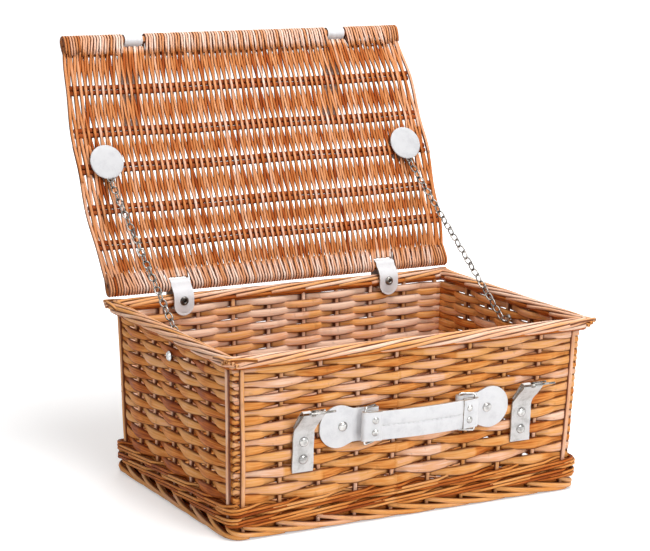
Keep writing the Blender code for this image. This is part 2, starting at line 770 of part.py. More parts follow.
def lid_strap(name, parent, side):
    """A strap looped round the lid's front stick, hanging straight down with the lid open."""
    pivot = empty(name + "_axis", (side * STRAP_PLACE, -LID_LENGTH, 0), parent, LID_OPENING)
    eye = STICK_DIAMETER / 2 + GAP
    band = STRAP_THICKNESS
    outer = eye + band
    half = LID_STRAP_WIDTH / 2
    bm = bmesh.new()
    tube(bm, [Vector((s * half, 0, 0)) for s in (-1, 1)], outer, 18, flat=UP)
    strap = finish(name, bm, LEATHERETTE, pivot)
    tail = bmesh.new()
    tip = -LID_STRAP_LENGTH
    shoulder = tip + LID_STRAP_POINT
    outline = [(half, 0), (-half, 0), (-half, shoulder), (-half / 2, tip), (half / 2, tip), (half, shoulder)]
    plate(tail, outline, eye, outer, lambda a, b, depth: Vector((a, depth, b)))
    combine(strap, finish(name + "_tail", tail, LEATHERETTE, pivot), "UNION")
    bore = bmesh.new()
    tube(bore, [Vector((s * (half + OVERRUN), 0, 0)) for s in (-1, 1)], eye, 16, flat=UP)
    combine(strap, finish(name + "_bore", bore, LEATHERETTE, pivot), "DIFFERENCE")
    for i in range(LID_STRAP_HOLES):
        hole = bmesh.new()
        z = shoulder - LID_STRAP_POINT + i * LID_STRAP_HOLE_PITCH + LID_STRAP_HOLE_PITCH
        ends = [Vector((0, y, z)) for y in (eye - OVERRUN, outer + OVERRUN)]
        tube(hole, ends, LID_STRAP_HOLE / 2, 10, flat=UP)
        combine(strap, finish("%s_hole_%d" % (name, i), hole, LEATHERETTE, pivot), "DIFFERENCE")
    return strap


# Chains

def anchor_end():
    """Where the anchor's end wire lies in the lid's frame, without its side: distance and height."""
    plane = -LID_THICKNESS / 2 - GAP - CHAIN_WIRE / 2
    return DISC_ALONG - ANCHOR_REACH, plane - ANCHOR_DROP


def chain_disc(name, parent, side):
    """Two white discs on one bolt through the lid, with the chain's anchor loop under the inner one."""
    half = LID_THICKNESS / 2
    radius = DISC_DIAMETER / 2
    shank = BOLT_DIAMETER / 2
    inner = -half - DISC_STAND_OFF
    outer = half + GAP
    rim = DISC_THICKNESS - DISC_DOME
    edge = DISC_THICKNESS - DISC_DOME * DISC_EDGE_SHARE
    profile = [(shank, inner - DISC_THICKNESS), (radius - DISC_THICKNESS, inner - edge)]
    profile += [(radius, inner - rim / 2), (radius - rim / 4, inner), (shank, inner), (shank, outer)]
    profile += [(radius - rim / 4, outer), (radius, outer + rim / 2)]
    profile += [(radius - DISC_THICKNESS, outer + edge), (shank, outer + DISC_THICKNESS)]
    bm = bmesh.new()
    x = side * DISC_PLACE
    turned(bm, profile, lambda a, b, along: Vector((x + a, -DISC_ALONG + b, along)), 22)
    disc = finish(name, bm, LEATHERETTE, parent)
    end, low = anchor_end()
    flat = low + ANCHOR_DROP
    width = CHAIN_WIDTH / 2 - CHAIN_WIRE / 2
    turn = end + width + ANCHOR_TURN
    points = []
    for a, b in arc((0, 0), width, 0, math.pi, 5):
        points.append(Vector((x + a, -DISC_ALONG - b, flat)))
    points.append(Vector((x - width, -turn, flat)))
    for a, b in arc((0, 0), width, math.pi, 2 * math.pi, 6):
        points.append(Vector((x + a, -end - width - b, low)))
    points.append(Vector((x + width, -turn, flat)))
    loop = bmesh.new()
    tube(loop, points, CHAIN_WIRE / 2, 6, loop=True, flat=UP)
    combine(disc, finish(name + "_anchor", loop, STEEL, parent), "UNION")
    return disc


def chain_spans(lid):
    """World points of each chain's pivots, from the lid's anchor to the wall, for the right side."""
    along, low = anchor_end()
    start = lid.matrix_world @ Vector((DISC_PLACE, -along, low))
    z = BASKET_HEIGHT - EYELET_DROP
    end = Vector((wall_half(RIM_WIDTH, z) - WALL_THICKNESS - CHAIN_WALL_GAP, EYELET_BEHIND, z))
    length = (end - start).length
    links = sum(CHAIN_LINKS)
    spans = len(CHAIN_LINKS)
    loose = CHAIN_WIRE + CHAIN_PLAY
    tight = CHAIN_WIRE - CHAIN_BITE
    pitch = (length - spans * (tight - loose)) / links
    direction = (end - start) / length
    pivots = [start]
    for count in CHAIN_LINKS:
        pivots.append(pivots[-1] + direction * (count * pitch + tight - loose))
    return pivots, direction, pitch, loose, tight


def link(bm, centre, along, flat_x, half):
    """One link: a stadium of wire. flat_x says whether its width lies along X."""
    side = Vector((1, 0, 0))
    side = (side - along * side.dot(along)).normalized()
    across = side if flat_x else along.cross(side)
    normal = along.cross(across)
    radius = CHAIN_WIDTH / 2 - CHAIN_WIRE / 2
    straight = half - radius
    points = []
    for end, start in ((1, -math.pi / 2), (-1, math.pi / 2)):
        for a, b in arc((end * straight, 0), radius, start, start + math.pi, 4):
            points.append(centre + along * a + across * b)
    tube(bm, points, CHAIN_WIRE / 2, 5, loop=True, flat=normal)


def chain(side_name, side, lid):
    """Three rigid lengths of chain, each turning on the end wire of the one before."""
    pivots, direction, pitch, loose, tight = chain_spans(lid)
    mirror = Vector((side, 1, 1))
    pivots = [Vector(a * b for a, b in zip(p, mirror)) for p in pivots]
    direction = Vector(a * b for a, b in zip(direction, mirror))
    half = (pitch + tight) / 2
    parent = lid
    made = []
    for name, count, pivot in zip(("upper", "middle", "lower"), CHAIN_LINKS, pivots):
        full = "chain_%s_%s" % (name, side_name)
        joint = empty(full + "_axis", (0, 0, 0))
        joint.parent = parent
        joint.matrix_parent_inverse = parent.matrix_world.inverted()
        joint.location = pivot
        bpy.context.view_layer.update()
        bodies = []
        for phase in (0, 1):
            bm = bmesh.new()
            for i in range(phase, count, 2):
                centre = direction * (half - loose + i * pitch)
                link(bm, centre, direction, i % 2 == 1, half)
            bodies.append(finish(full if phase == 0 else full + "_odd", bm, STEEL, joint))
        combine(bodies[0], bodies[1], "UNION")
        made.append(bodies[0])
        parent = joint
    return made


def wall_eyelet(name, parent, side, side_wall):
    """A rivet through a short wall that holds the chain's end."""
    z = BASKET_HEIGHT - EYELET_DROP
    outer = wall_half(RIM_WIDTH, z) + POST_GAP
    inner = wall_half(RIM_WIDTH, z) - WALL_THICKNESS - POST_GAP
    radius = EYELET_DIAMETER / 2
    shank = EYELET_SHANK / 2
    rise = EYELET_RISE
    dome_share = EYELET_DOME_SHARE
    back = inner - rise * EYELET_BACK_SHARE
    profile = [(shank / 2, outer + rise), (radius * dome_share, outer + rise * dome_share), (radius, outer)]
    profile += [(shank, outer), (shank, inner), (radius, inner), (radius * dome_share, back)]
    profile += [(shank / 2, back)]

    def place(a, b, along):
        return Vector((side * along, EYELET_BEHIND + a, z + b))

    bm = bmesh.new()
    turned(bm, profile, place, 16)
    eyelet = finish(name, bm, STEEL, parent)
    hole = bmesh.new()
    ends = [place(0, 0, inner - OVERRUN), place(0, 0, outer + OVERRUN)]
    tube(hole, ends, shank + GAP, 12, flat=UP)
    combine(side_wall, finish(name + "_hole", hole, WILLOW, parent), "DIFFERENCE")
    return eyelet


def build_body(root):
    base_panel(root)
    back = wall("wall_back", root, True, 1)
    wall("wall_front", root, True, -1)
    ends = {-1: wall("wall_left", root, False, -1), 1: wall("wall_right", root, False, 1)}
    for depth_name, sy in (("front", -1), ("back", 1)):
        for side_name, sx in SIDES:
            post("post_%s_%s" % (depth_name, side_name), root, sx, sy)
    foot_x = wall_half(RIM_WIDTH, FOOT_HEIGHT) + FOOT_PROUD
    foot_y = wall_half(RIM_DEPTH, FOOT_HEIGHT) + FOOT_PROUD
    for quarter, facing in enumerate(("right", "back", "left", "front")):
        border_bar("rim_" + facing, root, quarter, RIM_WIDTH / 2, RIM_DEPTH / 2, rim_profile())
        border_bar("foot_" + facing, root, quarter, foot_x, foot_y, foot_profile())
    for side_name, side in SIDES:
        strap_slot(back, root, side)
        hinge_strap("hinge_strap_" + side_name, root, side)
        wall_eyelet("wall_eyelet_" + side_name, root, side, ends[side])


def build_front(root):
    front = side_frame(root)
    for side_name, side in SIDES:
        buckle_strap("buckle_strap_" + side_name, front, side)
        buckle("buckle_frame_" + side_name, "buckle_prong_" + side_name, front, side)
        handle_patch("handle_patch_" + side_name, front, side)
        handle_ring("handle_ring_" + side_name, front, side)
    handle_grip(front)


def build_lid(root):
    lid = empty("lid_axis", (0, HINGE_Y, HINGE_Z), root, -LID_OPENING)
    bpy.context.view_layer.update()
    lid_border("lid_back_border", lid, 0, 1)
    lid_border("lid_front_border", lid, LID_LENGTH, -1)
    lid_panel(lid)
    for side_name, side in SIDES:
        lid_side("lid_side_" + side_name, lid, side)
        lid_strap("lid_strap_" + side_name, lid, side)
        chain_disc("chain_disc_" + side_name, lid, side)
        chain(side_name, side, lid)


def centre_on_origin(root):
    """Moves the whole basket so that its box stands centred on the origin."""
    bpy.context.view_layer.update()
    depths = []
    for obj in bpy.context.scene.objects:
        if obj.type == "MESH" and not obj.hide_render:
            depths += [(obj.matrix_world @ vertex.co).y for vertex in obj.data.vertices]
    root.location.y -= (min(depths) + max(depths)) / 2
    bpy.context.view_layer.update()


def build():
    for obj in list(bpy.data.objects):
        bpy.data.objects.remove(obj)
    root = empty("pie_basket", (0, 0, 0))
    build_body(root)
    build_front(root)
    build_lid(root)
    centre_on_origin(root)


build()
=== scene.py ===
import math
import bpy
import numpy as np
from mathutils import Matrix, Vector


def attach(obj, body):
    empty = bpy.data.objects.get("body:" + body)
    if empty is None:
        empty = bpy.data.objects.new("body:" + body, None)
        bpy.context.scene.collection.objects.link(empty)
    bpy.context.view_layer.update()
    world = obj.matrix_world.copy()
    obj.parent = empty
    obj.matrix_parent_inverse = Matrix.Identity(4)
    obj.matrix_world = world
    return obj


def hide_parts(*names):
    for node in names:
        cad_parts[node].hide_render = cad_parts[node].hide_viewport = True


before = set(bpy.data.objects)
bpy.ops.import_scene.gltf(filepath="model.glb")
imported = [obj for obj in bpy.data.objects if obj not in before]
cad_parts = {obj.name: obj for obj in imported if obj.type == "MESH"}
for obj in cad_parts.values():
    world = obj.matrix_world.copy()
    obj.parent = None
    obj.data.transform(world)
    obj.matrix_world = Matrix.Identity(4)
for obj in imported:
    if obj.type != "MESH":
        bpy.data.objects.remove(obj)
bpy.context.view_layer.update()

# Camera: a long lens on a stand, a little above the rim and to the left of the basket's front.
# It is rolled by a degree, as for the photograph, and the picture shows colours as they are.
AZIMUTH, ELEVATION, ROLL = math.radians(-29.239), math.radians(11.682), math.radians(0.972)
CAMERA_AT = (-1.040277, -1.854642, 0.638832)
FOCAL_LENGTH, SENSOR_WIDTH, VIEW_DEPTH = 120.62, 36, 50
away = Vector((-math.sin(AZIMUTH) * math.cos(ELEVATION), math.cos(AZIMUTH) * math.cos(ELEVATION),
               -math.sin(ELEVATION)))
level = Vector((math.cos(AZIMUTH), math.sin(AZIMUTH), 0))
above = level.cross(away)
camera_right = level * math.cos(ROLL) + above * math.sin(ROLL)
camera_up = above * math.cos(ROLL) - level * math.sin(ROLL)
turn = Matrix((camera_right, camera_up, -away)).transposed().to_4x4()
lens = bpy.data.cameras.new("camera")
lens.lens = FOCAL_LENGTH
lens.sensor_width = SENSOR_WIDTH
lens.clip_end = VIEW_DEPTH
camera = bpy.data.objects.new("camera", lens)
camera.matrix_world = Matrix.Translation(CAMERA_AT) @ turn
bpy.context.scene.collection.objects.link(camera)
bpy.context.scene.camera = camera
bpy.context.scene.view_settings.view_transform = "Standard"


# Studio: a sheet of white paper that keeps the basket's soft shadow, in an even white room.
# Four soft lamps light it: a large one above, one in front, and weak ones at the left and behind.
FLOOR_SIZE = 14
PAPER_GLOW, FAR_GLOW = 0.42, 0.5
SHADOW_REACH, GLOW_REACH = 0.35, 1.5
ROOM_SEEN, ROOM_LIGHT = 0.72, 0.28


class Wire:
    """A socket in a finish. Sums and products of wires add Math nodes."""

    def __init__(self, tree, socket=None):
        self.tree = tree
        self.socket = socket

    def node(self, kind, settings=None, inputs=None, out=0):
        """Adds a node of a kind, sets it, joins or fills its inputs, and gives its output's wire."""
        made = self.tree.nodes.new("ShaderNode" + kind)
        for name, value in (settings or {}).items():
            if name == "stops":
                ramp = made.color_ramp
                while len(ramp.elements) < len(value):
                    ramp.elements.new(0.5)
                for element, (place, tint) in zip(ramp.elements, value):
                    element.position = place
                    element.color = tint
            else:
                setattr(made, name, value)
        for name, value in (inputs or {}).items():
            if isinstance(value, Wire):
                self.tree.links.new(value.socket, made.inputs[name])
            else:
                made.inputs[name].default_value = value
        return Wire(self.tree, made.outputs[out])

    def maths(self, operation, first, second):
        return self.node("Math", {"operation": operation}, {0: first, 1: second})

    def __add__(self, other):
        return self.maths("ADD", self, other)

    __radd__ = __add__

    def __mul__(self, other):
        return self.maths("MULTIPLY", self, other)

    __rmul__ = __mul__

    def __sub__(self, other):
        return self.maths("SUBTRACT", self, other)

    def __rsub__(self, other):
        return self.maths("SUBTRACT", other, self)

    def above(self, low, high):
        """0 below low, 1 above high, and a smooth step between."""
        return self.node("MapRange", {"interpolation_type": "SMOOTHSTEP"}, {0: self, 1: low, 2: high})

    def mix(self, first, second):
        """A colour from first to second by this wire."""
        return self.node("Mix", {"data_type": "RGBA"}, {0: self, 6: first, 7: second}, 2)


def colour(code):
    """A linear colour from its usual six digits."""
    parts = [int(code[i:i + 2], 16) / 255 for i in (0, 2, 4)]
    return (*[((p + 0.055) / 1.055) ** 2.4 if p > 0.04045 else p / 12.92 for p in parts], 1)


def new_finish(name):
    """A new material, with a wire to start from and its shader."""
    made = bpy.data.materials.new(name)
    made.use_nodes = True
    shader = made.node_tree.nodes["Principled BSDF"]
    return made, Wire(made.node_tree), shader


def connect(wire, socket):
    """Feeds a wire into a shader's socket."""
    wire.tree.links.new(wire.socket, socket)


def looked_at(tree):
    """1 where the camera looks, in mirrors and clear things too, and 0 for what only gives light."""
    rays = tree.nodes.new("ShaderNodeLightPath")
    seen = Wire(tree, rays.outputs["Is Camera Ray"])
    for ray in ("Is Glossy Ray", "Is Transmission Ray"):
        seen = seen.maths("MAXIMUM", seen, Wire(tree, rays.outputs[ray]))
    return seen


bpy.ops.object.select_all(action="DESELECT")
bpy.ops.mesh.primitive_plane_add(size=FLOOR_SIZE, location=(0, 0, 0))
floor = bpy.context.object
floor.name = "floor"
paper, start, shader = new_finish("studio_paper")
shader.inputs["Base Color"].default_value = (0.8, 0.8, 0.8, 1)
shader.inputs["Roughness"].default_value = 0.95
shader.inputs["Emission Color"].default_value = (1, 1, 1, 1)
spread = start.node("VectorMath", {"operation": "LENGTH"}, {0: start.node("TexCoord", out=3)}, 1)
glow = spread.above(SHADOW_REACH, GLOW_REACH) * FAR_GLOW + PAPER_GLOW
connect(looked_at(start.tree) * glow, shader.inputs["Emission Strength"])
floor.data.materials.append(paper)

room = bpy.data.worlds.new("room")
room.use_nodes = True
bpy.context.scene.world = room
sky = room.node_tree.nodes["Background"]
sky.inputs["Color"].default_value = (1, 1, 1, 1)
connect(looked_at(room.node_tree) * ROOM_SEEN + ROOM_LIGHT, sky.inputs["Strength"])


def softbox(name, place, aim, size, power):
    """A square lamp at a place, turned towards aim."""
    lamp = bpy.data.lights.new(name, "AREA")
    lamp.shape = "RECTANGLE"
    lamp.size, lamp.size_y = size
    lamp.energy = power
    made = bpy.data.objects.new(name, lamp)
    made.location = place
    made.rotation_euler = (Vector(aim) - Vector(place)).to_track_quat("-Z", "Y").to_euler()
    bpy.context.scene.collection.objects.link(made)


softbox("lamp_over", (0.2, -0.5, 2.1), (0, 0, 0.15), (1.3, 1.2), 38)
softbox("lamp_front", (0.5, -2.3, 1.1), (0, 0, 0.15), (1.0, 0.9), 25)
softbox("lamp_left", (-2.1, -0.6, 1.0), (0, 0, 0.15), (0.9, 1.1), 3)
softbox("lamp_back", (0.9, 1.8, 1.4), (0, 0, 0.2), (1.0, 1.0), 10)

# Stakes: peeled willow rods that stand in the base and are bent over into the rim.
# Ten on each long side and seven on each short side, 4.7 mm thick. Two by each corner are its post.
mm = 0.001
CENTRE_Y = -41.769
HALF_WIDTH, HALF_DEPTH, TAPER = 196, 134, 5.5
FOOT_TOP, RIM_LOW = 12, 162
WALL_MID = 5.3
CORNER_STEPS = 6
STAKES_ALONG_X = (-178.5, -140, -100, -60, -20, 20, 60, 100, 140, 178.5)
STAKES_ALONG_Y = (-116.5, -77, -38.5, 0, 38.5, 77, 116.5)
STAKE_RADIUS, STAKE_TUCKED = 2.35, 3
up = (0, 0, 1)
rng = np.random.default_rng(7)


def half_x(z):
    """Half the basket's width over its walls at a height."""
    return HALF_WIDTH - TAPER * (1 - (z - FOOT_TOP) / (RIM_LOW - FOOT_TOP))


def half_y(z):
    """Half the basket's depth over its walls at a height."""
    return HALF_DEPTH - TAPER * (1 - (z - FOOT_TOP) / (RIM_LOW - FOOT_TOP))


class Track:
    """A line round the basket, counted in stakes from the front's middle towards its left end."""

    def __init__(self, inset, radius, half=None):
        self.inset, self.half = inset, half
        middle = (FOOT_TOP + RIM_LOW) / 2
        a, b = half or (half_x(middle) - inset, half_y(middle) - inset)
        self.a, self.b = a, b
        points, normals = [(0.0, -b)], [(0.0, -1.0)]
        corners = ((-1, -1, 1.5), (-1, 1, 1.0), (1, 1, 0.5), (1, -1, 0.0))
        for sx, sy, quarter in corners:
            for i in range(CORNER_STEPS + 1):
                angle = math.pi * (quarter - i / (2 * CORNER_STEPS))
                n = (math.cos(angle), math.sin(angle))
                points.append((sx * (a - radius) + radius * n[0], sy * (b - radius) + radius * n[1]))
                normals.append(n)
        points.append((0.0, -b))
        normals.append((0.0, -1.0))
        self.points, self.normals = np.array(points), np.array(normals)
        self.along = np.concatenate(([0], np.cumsum(np.hypot(*np.diff(self.points, axis=0).T))))
        places = [(x, -b) for x in STAKES_ALONG_X[4::-1]] + [(-a, y) for y in STAKES_ALONG_Y]
        places += [(x, b) for x in STAKES_ALONG_X] + [(a, -y) for y in STAKES_ALONG_Y]
        places += [(x, -b) for x in STAKES_ALONG_X[:4:-1]]
        fine = np.linspace(0, self.along[-1], 6001)
        x, y = (np.interp(fine, self.along, self.points[:, i]) for i in (0, 1))
        self.marks = np.array([fine[np.argmin((x - p[0]) ** 2 + (y - p[1]) ** 2)] for p in places])
        self.count = len(places)

    def at(self, number, z, out):
        """World points in metres at stake numbers and heights. out is measured from the outer crests."""
        number, z, out = np.broadcast_arrays(np.asarray(number, float), z, out)
        whole = np.arange(-self.count, 2 * self.count)
        marks = np.concatenate([self.marks - self.along[-1], self.marks, self.marks + self.along[-1]])
        along = np.interp(number, whole, marks) % self.along[-1]
        x, y = (np.interp(along, self.along, self.points[:, i]) for i in (0, 1))
        nx, ny = (np.interp(along, self.along, self.normals[:, i]) for i in (0, 1))
        size = np.hypot(nx, ny)
        if self.half is None:
            x = x * (half_x(z) - self.inset) / self.a
            y = y * (half_y(z) - self.inset) / self.b
        x = x + nx / size * (out + self.inset)
        y = y + ny / size * (out + self.inset)
        return np.stack([x, y + CENTRE_Y, z], axis=1) * mm


def rod(points, wide, width, depth, loop=False, tone=0.5, sides=8, sink=0.0):
    """One rod along points, with its width along wide. width and depth are radii in millimetres.

    sink is how far the rod has gone behind a stake, 1 or -1 by side, where it gets painted shade."""
    points = np.asarray(points, float)
    count = len(points)
    if loop:
        ahead = np.roll(points, -1, 0) - np.roll(points, 1, 0)
    else:
        ahead = np.gradient(points, axis=0)
    ahead /= np.linalg.norm(ahead, axis=1)[:, None]
    wide = np.broadcast_to(np.asarray(wide, float), points.shape)
    wide = wide - ahead * (wide * ahead).sum(1)[:, None]
    wide = wide / np.linalg.norm(wide, axis=1)[:, None]
    return {"points": points, "wide": wide, "deep": np.cross(ahead, wide), "loop": loop, "sides": sides,
            "width": np.broadcast_to(width, count) * mm, "depth": np.broadcast_to(depth, count) * mm,
            "tone": np.broadcast_to(tone, count), "sink": np.broadcast_to(sink, count)}


def rod_piece(name, runs, finish, body, replaced=()):
    """One mesh of all the rods of a piece, with each rod's tone, its own grain, and painted shade at the
    edges of its width and where it goes behind a stake.
    """
    verts, faces, tones, grains, painted_shades = [], [], [], [], []
    base = 0
    for number, run in enumerate(runs):
        points, sides, loop = run["points"], run["sides"], run["loop"]
        count = len(points)
        angle = 2 * math.pi * (np.arange(sides) + 0.5) / sides
        ring = (points[:, None] + run["wide"][:, None] * (run["width"][:, None] * np.cos(angle))[..., None]
                + run["deep"][:, None] * (run["depth"][:, None] * np.sin(angle))[..., None])
        length = np.concatenate(([0], np.cumsum(np.linalg.norm(np.diff(points, axis=0), axis=1))))
        seed = (number * 0.6180339) % 1
        grain = np.zeros((count, sides, 3))
        grain[..., 0] = length[:, None] + seed * 7
        grain[..., 1] = np.cos(angle) * 0.003
        grain[..., 2] = np.sin(angle) * 0.003 + seed
        verts.append(ring.reshape(-1, 3))
        grains.append(grain.reshape(-1, 3))
        tones.append(np.repeat(run["tone"][:, None], sides, 1).reshape(-1))
        # Painted shade: each rod is darker at the edges of its width, where it meets its neighbours, and on
        # the side that faces into the crevice where it goes behind a stake.
        painted_side_shade = np.clip((np.abs(np.cos(angle)) - 0.5) / 0.42, 0, 1) ** 1.6
        painted_sunk_shade = np.clip(run["sink"][:, None] * np.sin(angle) * 1.3, 0, 1)
        painted_shades.append(np.clip(painted_side_shade[None] + painted_sunk_shade, 0, 1).reshape(-1))
        i, j = np.meshgrid(np.arange(count if loop else count - 1), np.arange(sides), indexing="ij")
        i2, j2 = (i + 1) % count, (j + 1) % sides
        quads = np.stack([i * sides + j, i * sides + j2, i2 * sides + j2, i2 * sides + j], -1)
        faces += (quads.reshape(-1, 4) + base).tolist()
        if not loop:
            faces.append([base + k for k in range(sides)][::-1])
            faces.append([base + (count - 1) * sides + k for k in range(sides)])
        base += count * sides
    mesh = bpy.data.meshes.new(name)
    mesh.from_pydata(np.concatenate(verts).tolist(), [], faces)
    for attribute, kind, key, rows in (("tone", "FLOAT", "value", tones),
                                       ("crease", "FLOAT", "value", painted_shades),
                                       ("grain", "FLOAT_VECTOR", "vector", grains)):
        flat = np.concatenate(rows).astype(np.float32).reshape(-1)
        mesh.attributes.new(attribute, kind, "POINT").data.foreach_set(key, flat)
    mesh.polygons.foreach_set("use_smooth", [len(f) == 4 for f in faces])
    mesh.materials.append(finish)
    mesh.update()
    made = bpy.data.objects.new(name, mesh)
    bpy.context.scene.collection.objects.link(made)
    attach(made, body)
    if replaced:
        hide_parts(*replaced)


def willow_finish(name, stops, speck, shade, dark=0.85):
    """Peeled willow: a satin skin with long grain, pale and pink lengths, and painted shade in the seams
    between rods and where rods go behind stakes.

    stops are its colours by tone. speck is the colour of its spots, and shade that of the painted shade in
    its seams."""
    made, start, shader = new_finish(name)
    tone = start.node("Attribute", {"attribute_name": "tone"}, out=2)
    grain = start.node("Attribute", {"attribute_name": "grain"}, out=1)
    stretched = start.node("VectorMath", {"operation": "MULTIPLY"}, {0: grain, 1: (45, 1100, 1100)})
    streak = start.node("TexNoise", {}, {"Vector": stretched, "Scale": 1.0, "Detail": 3.0})
    patch = start.node("TexNoise", {}, {"Vector": grain, "Scale": 22.0, "Detail": 2.0})
    skin = start.node("TexNoise", {}, {"Vector": grain, "Scale": 700.0, "Detail": 2.0})
    crease = start.node("Attribute", {"attribute_name": "crease"}, out=2)
    place = tone + (patch - 0.5) * 0.55 + (streak - 0.5) * 0.8
    tones = [(at, colour(code)) for at, code in stops.items()]
    base = place.node("ValToRGB", {"stops": tones}, {0: place})
    spots = start.node("TexNoise", {}, {"Vector": grain, "Scale": 190.0, "Detail": 1.0}).above(0.66, 0.74)
    bruise = start.node("TexNoise", {}, {"Vector": grain, "Scale": 48.0, "Detail": 2.0}).above(0.58, 0.76)
    marked = (bruise * 0.2).mix(base, colour(speck))
    marked = (spots * 0.16).mix(marked, colour(speck))
    # Painted shade: rods are darkened towards the shade colour at their edges and where they go behind a
    # stake.
    painted_seam_shade = (crease + (streak - 0.5) * 0.3).above(0.12, 1.0)
    connect((painted_seam_shade * dark).mix(marked, colour(shade)), shader.inputs["Base Color"])
    connect(streak * 0.25 + 0.36, shader.inputs["Roughness"])
    lumps = start.node("Bump", {}, {"Strength": 0.5, "Distance": 0.0007, "Height": streak + skin * 0.3})
    connect(lumps, shader.inputs["Normal"])
    shader.inputs["Specular IOR Level"].default_value = 0.1
    return made


willow = willow_finish("peeled_willow", {0.0: "8A3E12", 0.2: "BC6526", 0.4: "DE9148", 0.6: "E9AA68",
                                         0.8: "ECB38E", 1.0: "F5D0B6"}, "6B2E12", "5E2003")
track = Track(WALL_MID, 3.0)
heights = np.linspace(STAKE_TUCKED, RIM_LOW + STAKE_TUCKED, 16)
stake_runs = []
for stake in range(track.count):
    lean = 0.3 * np.sin(heights / 19 + stake)
    place = track.at(stake + 0.012 * np.sin(heights / 27 + stake * 2), heights, -WALL_MID + lean)
    beside = track.at([stake - 0.02, stake + 0.02], 80, 0.0)
    size = STAKE_RADIUS + 0.12 * np.sin(heights / 14 + stake)
    tone = 0.62 + 0.3 * rng.random()
    stake_runs.append(rod(place, beside[1] - beside[0], size, size, tone=tone, sides=10))
rod_piece("stakes", stake_runs, willow, "basket",
          ["post_front_left", "post_front_right", "post_back_left", "post_back_right"])

# Walls: single rods woven in front of one stake and behind the next, beaten down row on row.
# Eighteen rows from the waling to the rim, thicker near the foot, golden and pink rods in turn.
# Between the two stakes of a corner every rod lies inside, and tapers towards the front stake.
ROWS, PER_SPAN, LENGTHS = 18, 12, 18
WALL_LOW, ROW_SLACK = 32, 0.6
FIRST_ROW, LAST_ROW = 8.1, 6.1
SWING, LEFT_SWING, CORNER_SET = 3.5, 2.9, 2.9
WALL_ROD = 1.9
CORNERS = np.array((4.5, 11.5, 21.5, 28.5))
LEFT_MIDDLE, BACK_MIDDLE = 8, 16.5
pitches = np.linspace(FIRST_ROW, LAST_ROW, ROWS)
pitches *= (RIM_LOW - ROW_SLACK - WALL_LOW) / pitches.sum()
row_low = WALL_LOW + np.concatenate(([0], np.cumsum(pitches)))
numbers = np.arange(track.count * PER_SPAN) / PER_SPAN
past = numbers[:, None] - CORNERS[None]
corner = np.min(np.abs(past), axis=1)
inside = np.clip(1 - (corner - 0.5) / 0.5, 0, 1)
across_corner = 0.5 - np.sum(past * (np.abs(past) < 0.5), axis=1)
notch = np.where(numbers < LEFT_MIDDLE, 0.75, 0.1)
dense = (numbers > CORNERS[1]) & (numbers < CORNERS[3])
swing = np.where(np.abs(numbers - LEFT_MIDDLE) < 3.5, LEFT_SWING, SWING)
# Painted shade: the left wall's rods are given a darker tone, as the wall is in shade.
left_wall_painted_shade = 0.2 * (np.abs(numbers - LEFT_MIDDLE) < 3.4)
# Painted light: the back wall's rods are given a paler tone, as its inside is lit.
back_wall_painted_light = 0.28 * (np.abs(numbers - BACK_MIDDLE) < 5)
row_runs = []
for row in range(ROWS):
    pitch = pitches[row]
    phase = math.pi * (numbers + row)
    front = np.cos(phase)
    wedge = 1 - 2 * np.abs((numbers + row + 1) % 2 - 1)
    waver = 0.45 * np.sin(numbers * 1.7 + row * 0.4) + 0.35 * np.sin(numbers * 0.61 + row * 0.3)
    thick = 1 + 0.05 * np.sin(numbers * 0.37 + row * 1.3) + 0.03 * np.sin(numbers * 1.13 + row * 2.3)
    tall = pitch * np.where(dense, 1.3 - 0.12 * wedge, 1.1 + 0.38 * wedge) * thick
    tooth = np.where(corner < 0.45, 1.05 - notch * across_corner, 1)
    tall = np.where(corner < 0.5, pitch * 1.15 * tooth, tall)
    depth = swing * np.sign(front) * np.abs(front) ** 0.9 * (1 - inside) - CORNER_SET * inside
    # Painted shade where a rod goes behind a stake, on the side that faces into the crevice.
    sink = np.sign(front) * np.clip((np.abs(wedge) - 0.62) / 0.25, 0, 1) * (1 - inside)
    z = row_low[row] + pitch / 2 + (waver - 0.25 * np.sin(phase)) * pitch / 7
    place = track.at(numbers, z, -WALL_MID + depth)
    shades = rng.random(LENGTHS)
    which = (numbers / 3.3 + row * 0.7).astype(int) % LENGTHS
    tone = 0.45 + 0.27 * (row % 2) + 0.34 * (shades[which] - 0.5) - left_wall_painted_shade + back_wall_painted_light
    row_runs.append(rod(place, up, tall / 2, WALL_ROD * thick, loop=True, tone=tone, sides=10, sink=sink))
rod_piece("woven_walls", row_runs, willow, "basket", ["wall_front", "wall_back", "wall_left", "wall_right"])

# Waling: two bands of three pairs of thin rods twined together, which lock the stakes above the foot.
# Each pair passes in front of two stakes and behind one, climbing as it goes to the right.
WALE_LOW, BAND_TALL, CLIMB = 12.3, 10.2, 7.2
WALE_SWING, WALE_OUT = 4.0, 1.2
WALE_TALL, WALE_DEEP, PAIR_APART = 1.65, 1.6, 1.55
ROUNDS, IN_FRONT = 11, 0.78
wale_runs = []
wales = np.arange(track.count * 10) / 10
for band in range(2):
    for strand in range(3):
        cycle = (-wales * ROUNDS / track.count + strand / 3 + band * 0.2) % 1
        out = np.clip(1.7 * np.cos((cycle - 0.37) * 2 * math.pi) + 0.75, -1, 1)
        climb = np.where(cycle < IN_FRONT, cycle / IN_FRONT - 0.5, 0.5 - (cycle - IN_FRONT) / (1 - IN_FRONT))
        z = WALE_LOW + BAND_TALL * (band + 0.5) + CLIMB * climb + 0.4 * np.sin(wales * 0.9 + strand)
        place = track.at(wales, z, -WALL_MID + WALE_OUT + WALE_SWING * out)
        tone = 0.23 + 0.2 * np.sin(wales * 0.4 + strand * 2 + band) + 0.2 * rng.random()
        for shift in (-PAIR_APART, PAIR_APART):
            shifted = place + np.array((0, 0, shift * mm))
            shade = tone + 0.03 * shift
            wale_runs.append(rod(shifted, up, WALE_TALL, WALE_DEEP, loop=True, tone=shade, sides=8))
rod_piece("waling", wale_runs, willow, "basket")

